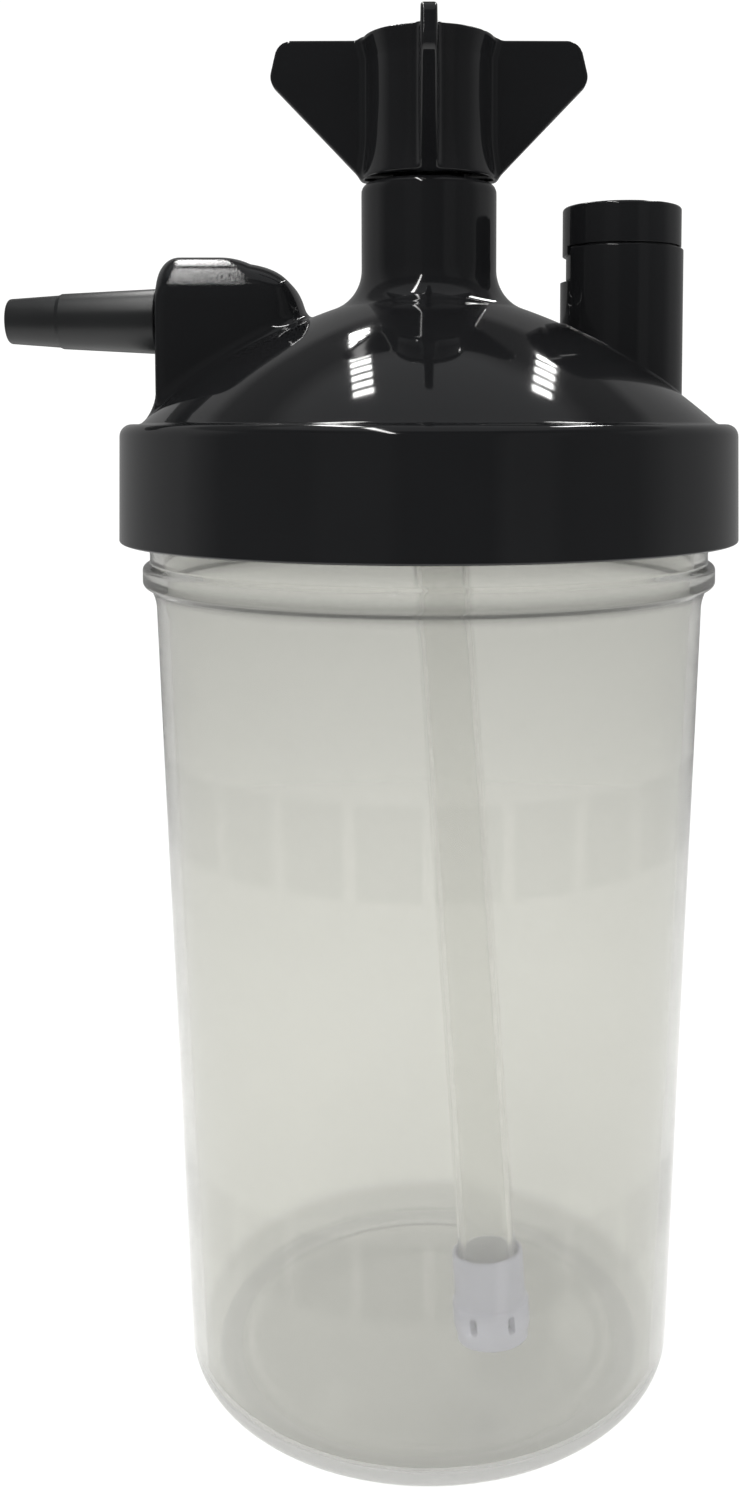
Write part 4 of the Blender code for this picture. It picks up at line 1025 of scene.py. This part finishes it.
def build_gland():
    """The stem that holds the wing nut on the neck, and its O-ring."""
    foot, top = GLAND_LOW[2], GLAND_HIGH[2]
    flange = NUT_FOOT_Z + NUT_WEB + GAP
    flange_top = flange + GLAND_FLANGE_HEIGHT
    ring_z = (RING_LOW[2] + RING_HIGH[2]) / 2.0
    outline = rounded([
        (GLAND_PASSAGE, foot, 0.2),
        (GLAND_SHANK, foot, 0.4),
        (GLAND_SHANK, ring_z - 0.9, 0.1),
        (GLAND_GROOVE, ring_z - 0.9, 0.1),
        (GLAND_GROOVE, ring_z + 0.9, 0.1),
        (GLAND_SHANK, ring_z + 0.9, 0.1),
        (GLAND_SHANK, flange, 0.15),
        (GLAND_FLANGE, flange, 0.2),
        (GLAND_FLANGE, flange_top, 0.3),
        (GLAND_NOSE, flange_top, 0.3),
        (GLAND_NOSE, top, 1.6),
        (GLAND_PASSAGE, top, 0.35),
    ])
    add_mesh("gland", *lathe(outline, SMALL_STEPS), "lid", "black_plastic", ["inlet_gland"])
    turns = full_turn(24)
    circle = np.column_stack([np.cos(turns), np.sin(turns)])
    ring = [RING_HIGH[0] - RING_WIRE, ring_z] + RING_WIRE * circle
    add_mesh("gland_ring", *lathe(ring, SMALL_STEPS), "lid", "black_rubber", ["gland_o_ring"])


# ---- outlet nipple


def build_nipple():
    """The hose nipple, turned about the passage in the outlet block."""
    length = BLOCK_FACE_X - NIPPLE_LOW[0]
    outline = rounded([
        (NIPPLE_BORE, -BLOCK_FACE_WALL, 0.2),
        (NIPPLE_SPIGOT, -BLOCK_FACE_WALL, 0.3),
        (NIPPLE_SPIGOT, GAP, 0.1),
        (NIPPLE_ROOT, GAP, 0.25),
        (3.9, 13.9, 0.2),
        (3.68, 14.4, 0.3),
        (NIPPLE_TIP, length, 0.5),
        (NIPPLE_BORE, length, 0.35),
    ])
    points, faces = lathe(outline, SMALL_STEPS)
    turned = np.stack([BLOCK_FACE_X - points[:, 2], points[:, 1], NIPPLE_Z + points[:, 0]], axis=1)
    add_mesh("nipple", turned, faces, "lid", "satin_black_plastic", ["outlet_nipple"])


# ---- relief valve


def build_cap():
    """The valve's cap, with the stem guide inside and the key that fits the tower's window."""
    centre = (VALVE_X, 0.0)
    sleeve = TOWER_RADIUS - LIP_WALL - GAP
    ceiling = CAP_TOP_Z - CAP_ROOF
    guide = STEM_RADIUS + GAP
    outline = rounded([
        (AXIS, ceiling + 0.4),
        (guide, ceiling + 0.4, 0.1),
        (guide, ceiling - GUIDE_DEPTH, 0.15),
        (2.4, ceiling - GUIDE_DEPTH, 0.15),
        (2.4, ceiling, 0.3),
        (sleeve - 1.0, ceiling, 0.3),
        (sleeve - 1.0, CAP_LOW[2], 0.15),
        (sleeve, CAP_LOW[2], 0.2),
        (sleeve, CAP_FOOT_Z, 0.1),
        (CAP_RADIUS, CAP_FOOT_Z, 0.12),
        (CAP_RADIUS, CAP_TOP_Z, 0.5),
        (3.0, CAP_TOP_Z - 0.1, 6.0),
        (1.2, CAP_TOP_Z - 0.1, 0.2),
        (0.9, CAP_TOP_Z - 0.02, 0.1),
        (AXIS, CAP_TOP_Z - 0.02),
    ])
    key = rounded([
        (sleeve - 0.4, CAP_FOOT_Z - 1.2, 0.05),
        (CAP_RADIUS, CAP_FOOT_Z - 1.2, 0.15),
        (CAP_RADIUS, CAP_FOOT_Z + 0.4),
        (sleeve - 0.4, CAP_FOOT_Z + 0.4),
    ], 4)
    shape = join(
        lathe(outline, SMALL_STEPS, centre),
        sector(key, 40, WINDOW_MIDDLE - KEY_ANGLE / 2.0, KEY_ANGLE, centre),
    )
    add_mesh("valve_cap", *shape, "lid", "black_plastic", ["relief_valve_cap"])


def build_valve():
    """What is under the valve's cap: seat, soft disc, poppet and spring."""
    centre = (VALVE_X, 0.0)
    foot = VALVE_SEAT_LOW[2]
    seat = rounded([
        (2.4, foot, 0.15),
        (WELL_RADIUS - GAP, foot, 0.2),
        (WELL_RADIUS - GAP, foot + SEAT_PLATE, 0.2),
        (3.4, foot + SEAT_PLATE, 0.2),
        (3.4, foot + SEAT_PLATE + SEAT_LIP, 0.3),
        (2.4, foot + SEAT_PLATE + SEAT_LIP, 0.3),
    ])
    add_mesh("valve_seat", *lathe(seat, SMALL_STEPS, centre), "lid", "acetal", ["relief_seat"])
    disc_radius = SEAL_HIGH[0] - VALVE_X
    disc = rounded([
        (AXIS, SEAL_LOW[2]),
        (disc_radius, SEAL_LOW[2], 0.15),
        (disc_radius, SEAL_HIGH[2], 0.15),
        (AXIS, SEAL_HIGH[2]),
    ])
    add_mesh("valve_disc", *lathe(disc, SMALL_STEPS, centre), "poppet", "silicone", ["poppet_seal"])
    plate = SEAL_HIGH[2] + GAP
    plate_top = plate + PLATE_HEIGHT
    plate_radius = POPPET_HIGH[0] - VALVE_X
    poppet = rounded([
        (AXIS, plate),
        (disc_radius + GAP, plate, 0.1),
        (disc_radius + GAP, POPPET_LOW[2], 0.1),
        (plate_radius, POPPET_LOW[2], 0.2),
        (plate_radius, plate_top, 0.25),
        (STEM_RADIUS, plate_top, 0.4),
        (STEM_RADIUS, POPPET_HIGH[2], 0.35),
        (AXIS, POPPET_HIGH[2]),
    ])
    add_mesh("valve_poppet", *lathe(poppet, SMALL_STEPS, centre), "poppet", "acetal", ["relief_poppet"])
    turns = 2.0 * math.pi * np.arange(SPRING_TURNS * SPRING_STEPS + 1) / SPRING_STEPS
    climb = np.linspace(SPRING_LOW[2] + SPRING_WIRE, SPRING_HIGH[2] - SPRING_WIRE, len(turns))
    across, along = SPRING_RADIUS * np.cos(turns), SPRING_RADIUS * np.sin(turns)
    wire = sweep(np.column_stack([VALVE_X + across, along, climb]), SPRING_WIRE, 12)
    spring = add_mesh("valve_spring", *wire, "poppet", "spring_steel", ["relief_spring"])
    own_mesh(spring)


# ---- dip tube and diffuser


def tube_line():
    """The tube's middle line from its top, and its direction at the end."""
    towards = np.array([math.cos(TUBE_AZIMUTH), math.sin(TUBE_AZIMUTH), 0.0])
    down = np.array([0.0, 0.0, -1.0])
    top = np.array([0.0, 0.0, CROWN_Z - GAP])
    path = [top]
    start = top + TUBE_STRAIGHT * down
    for angle in np.linspace(0.0, TUBE_LEAN, 13):
        sunk, moved = TUBE_BEND * math.sin(angle), TUBE_BEND * (1.0 - math.cos(angle))
        path.append(start + sunk * down + moved * towards)
    direction = math.cos(TUBE_LEAN) * down + math.sin(TUBE_LEAN) * towards
    cup = CUP_DEPTH * math.cos(TUBE_LEAN) + (CUP_RADIUS - CUP_EDGE) * math.sin(TUBE_LEAN)
    end_z = JAR_FLOOR_Z + DIFFUSER_ABOVE_FLOOR + cup
    bend_end = path[-1]
    length = (bend_end[2] - end_z) / -direction[2]
    for share in np.linspace(0.0, 1.0, 80)[1:]:
        path.append(bend_end + direction * length * share)
    return np.array(path), direction


def build_tube():
    """The clear dip tube, open at both ends."""
    path, direction = tube_line()
    turns = full_turn(TUBE_STEPS)
    tangent = np.gradient(path, axis=0)
    tangent /= np.linalg.norm(tangent, axis=1)[:, None]
    side = np.cross(tangent, [0.0, 1.0, 0.0])
    side /= np.linalg.norm(side, axis=1)[:, None]
    up = np.cross(side, tangent)
    rings = []
    order = [(k, TUBE_RADIUS) for k in range(len(path))]
    order += [(k, TUBE_BORE) for k in reversed(range(len(path)))]
    for k, radius in order:
        spoke = np.outer(np.cos(turns), side[k]) + np.outer(np.sin(turns), up[k])
        rings.append(path[k] + radius * spoke)
    grid = np.array(rings)
    faces = grid_faces(grid.shape[0], TUBE_STEPS, True, True)
    add_mesh("tube", grid.reshape(-1, 3), faces, "lid", "clear_tube", ["dip_tube"])
    return path[-1], direction


def diffuser_field(x, y, z):
    """The diffuser head about its own axis, with the tube's end at z = 0."""
    r = np.hypot(x, y)
    cup = overlap(overlap(r - CUP_RADIUS, -CUP_DEPTH - z, CUP_EDGE), z + 0.25, 0.3)
    sleeve = overlap(r - SLEEVE_RADIUS, z - SLEEVE_LENGTH, 0.2)
    solid = np.maximum(union(cup, sleeve, 0.3), -CUP_DEPTH - z)
    chamber = np.maximum(np.maximum(r - CHAMBER_RADIUS, -3.5 - z), z + 0.2)
    bore = np.maximum(r - SLEEVE_BORE, -GAP - z)
    turn = np.arctan2(y, x)
    wedge = 2.0 * math.pi / SLOT_COUNT
    local = (turn + wedge / 2.0) % wedge - wedge / 2.0
    across = np.abs(r * np.sin(local))
    slot = overlap(overlap(across - 0.5, np.abs(z + 2.2) - 1.0, 0.3), 2.5 - r, 0.2)
    return np.maximum(solid, -np.minimum(np.minimum(chamber, bore), slot))


def build_diffuser(end, direction):
    """The diffuser head and its frit, on the tube's end."""
    low = (-5.6, -5.6, -6.4)
    high = (5.6, 5.6, 8.6)
    points, quads, normals = surface_net(diffuser_field, low, high, DIFFUSER_CELL)
    up = -direction
    side = np.cross([0.0, 1.0, 0.0], up)
    side /= np.linalg.norm(side)
    turn = np.stack([side, np.cross(up, side), up])
    add_mesh(
        "diffuser", end + points @ turn, quads, "lid", "lavender_plastic", ["diffuser_head"],
        normals @ turn,
    )
    disc = rounded([
        (AXIS, -3.2),
        (FRIT_RADIUS, -3.2, 0.3),
        (FRIT_RADIUS, -0.6, 0.3),
        (AXIS, -0.6),
    ])
    frit, faces = lathe(disc, SMALL_STEPS)
    add_mesh("frit", end + frit @ turn, faces, "lid", "porous_plastic", ["diffuser_frit"])


# ---- stage


def build_floor():
    """A pale round floor under the jar, which fades out."""
    tree, shader = new_material("pale_floor")
    shader.inputs["Roughness"].default_value = 0.6
    cloud = noise(tree, 30.0)
    tone = mix_colours(tree, cloud, (0.90, 0.90, 0.895), (0.93, 0.93, 0.925))
    tree.links.new(tone, shader.inputs["Base Color"])
    place = tree.nodes.new("ShaderNodeTexCoord")
    length = tree.nodes.new("ShaderNodeVectorMath")
    length.operation = "LENGTH"
    tree.links.new(place.outputs["Object"], length.inputs[0])
    fade = spread(tree, length.outputs["Value"], 1.0, 0.0, *FLOOR_FADE)
    tree.links.new(fade, shader.inputs["Alpha"])
    mesh = bpy.data.meshes.new("floor")
    turns = full_turn(FLOOR_STEPS)
    edge = FLOOR_RADIUS * np.stack([np.cos(turns), np.sin(turns), 0.0 * turns], axis=1)
    mesh.from_pydata(edge.tolist(), [], [list(range(FLOOR_STEPS))])
    mesh.materials.append(bpy.data.materials["pale_floor"])
    floor = bpy.data.objects.new("floor", mesh)
    bpy.context.scene.collection.objects.link(floor)


def build_ceiling_lights():
    """Three rows of bright slats overhead, unseen but for their reflections and light."""
    material = bpy.data.materials.new("light_slat")
    material.use_nodes = True
    tree = material.node_tree
    emission = tree.nodes.new("ShaderNodeEmission")
    emission.inputs["Color"].default_value = (1.0, 0.995, 0.98, 1.0)
    emission.inputs["Strength"].default_value = LIGHT_STRENGTH
    tree.links.new(emission.outputs[0], tree.nodes["Material Output"].inputs["Surface"])
    # Name, near and far end, half width (all for a height of one), and how full the row is
    rows = (
        ("left_lights", (-0.222, 0.25), (-0.258, 0.96), 0.036, 0.60),
        ("right_lights", (0.392, 0.37), (0.480, 1.45), 0.036, 0.60),
        ("front_lights", (-0.206, 0.04), (-0.310, -1.31), 0.020, 1.0),
    )
    for name, near, far, half_width, fill in rows:
        points, faces = [], []
        for i in range(LIGHT_SLATS):
            share = (i + 0.5) / LIGHT_SLATS
            x = (near[0] + (far[0] - near[0]) * share) * LIGHT_HEIGHT
            y = (near[1] + (far[1] - near[1]) * share) * LIGHT_HEIGHT
            half_x = half_width * LIGHT_HEIGHT
            half_y = fill / 2.0 * (far[1] - near[1]) / LIGHT_SLATS * LIGHT_HEIGHT
            z = LIGHT_HEIGHT + LIGHT_BASE
            corners = ((-1, -1), (-1, 1), (1, 1), (1, -1))
            faces.append([len(points) + k for k in range(4)])
            points += [(x + a * half_x, y + b * half_y, z) for a, b in corners]
        mesh = bpy.data.meshes.new(name)
        mesh.from_pydata(points, [], faces)
        mesh.materials.append(material)
        lights = bpy.data.objects.new(name, mesh)
        bpy.context.scene.collection.objects.link(lights)
        lights.visible_camera = False
        lights.visible_transmission = False
        lights.visible_shadow = False


def build_world():
    """White to look at and for soft light; in reflections, a grey room with a darker front."""
    world = bpy.data.worlds.new("studio")
    bpy.context.scene.world = world
    world.use_nodes = True
    world.cycles.sampling_method = "NONE"
    tree = world.node_tree
    background = tree.nodes["Background"]
    x, y, z = coordinates(tree, "Generated")
    across = spread(tree, x, 0.0, 1.0, -1.0, 1.0)
    front = colour_ramp(tree, across, FRONT_LEVELS)
    back = colour_ramp(tree, across, BACK_LEVELS)
    behind = spread(tree, y, 0.0, 1.0, *BACK_STARTS)
    walls = mix_colours(tree, behind, front, back)
    band = colour_ramp(tree, z, WALL_HEIGHTS)
    banded = mix_colours(tree, 1.0, walls, band, "MULTIPLY")
    overhead = spread(tree, z, 0.0, 1.0, *CEILING_STARTS)
    room = mix_colours(tree, overhead, banded, CEILING_LEVEL)
    path = tree.nodes.new("ShaderNodeLightPath")
    glossy, through = path.outputs["Is Glossy Ray"], path.outputs["Is Transmission Ray"]
    reflected = maths(tree, "SUBTRACT", glossy, through)
    reflected.node.use_clamp = True
    seen = mix_colours(tree, reflected, WHITE_LEVEL, room)
    tree.links.new(seen, background.inputs["Color"])


def build_camera():
    """The camera, fitted to the photograph's perspective and framing."""
    data = bpy.data.cameras.new("camera")
    data.lens = 34.72
    data.sensor_width = 36.0
    data.shift_x = -0.0383
    data.shift_y = -0.1483
    camera = bpy.data.objects.new("camera", data)
    camera.location = (0.0, -0.2072, 0.1343)
    camera.rotation_euler = (math.radians(86.0), 0.0, 0.0)
    bpy.context.scene.collection.objects.link(camera)
    bpy.context.scene.camera = camera


build_camera()
build_jar()
build_gasket()
build_dome()
build_skirt()
build_tower()
build_nut()
build_gland()
build_nipple()
build_cap()
build_valve()
tube_end, tube_direction = build_tube()
build_diffuser(tube_end, tube_direction)
build_floor()
build_ceiling_lights()
build_world()
bpy.context.scene.view_settings.view_transform = "Standard"
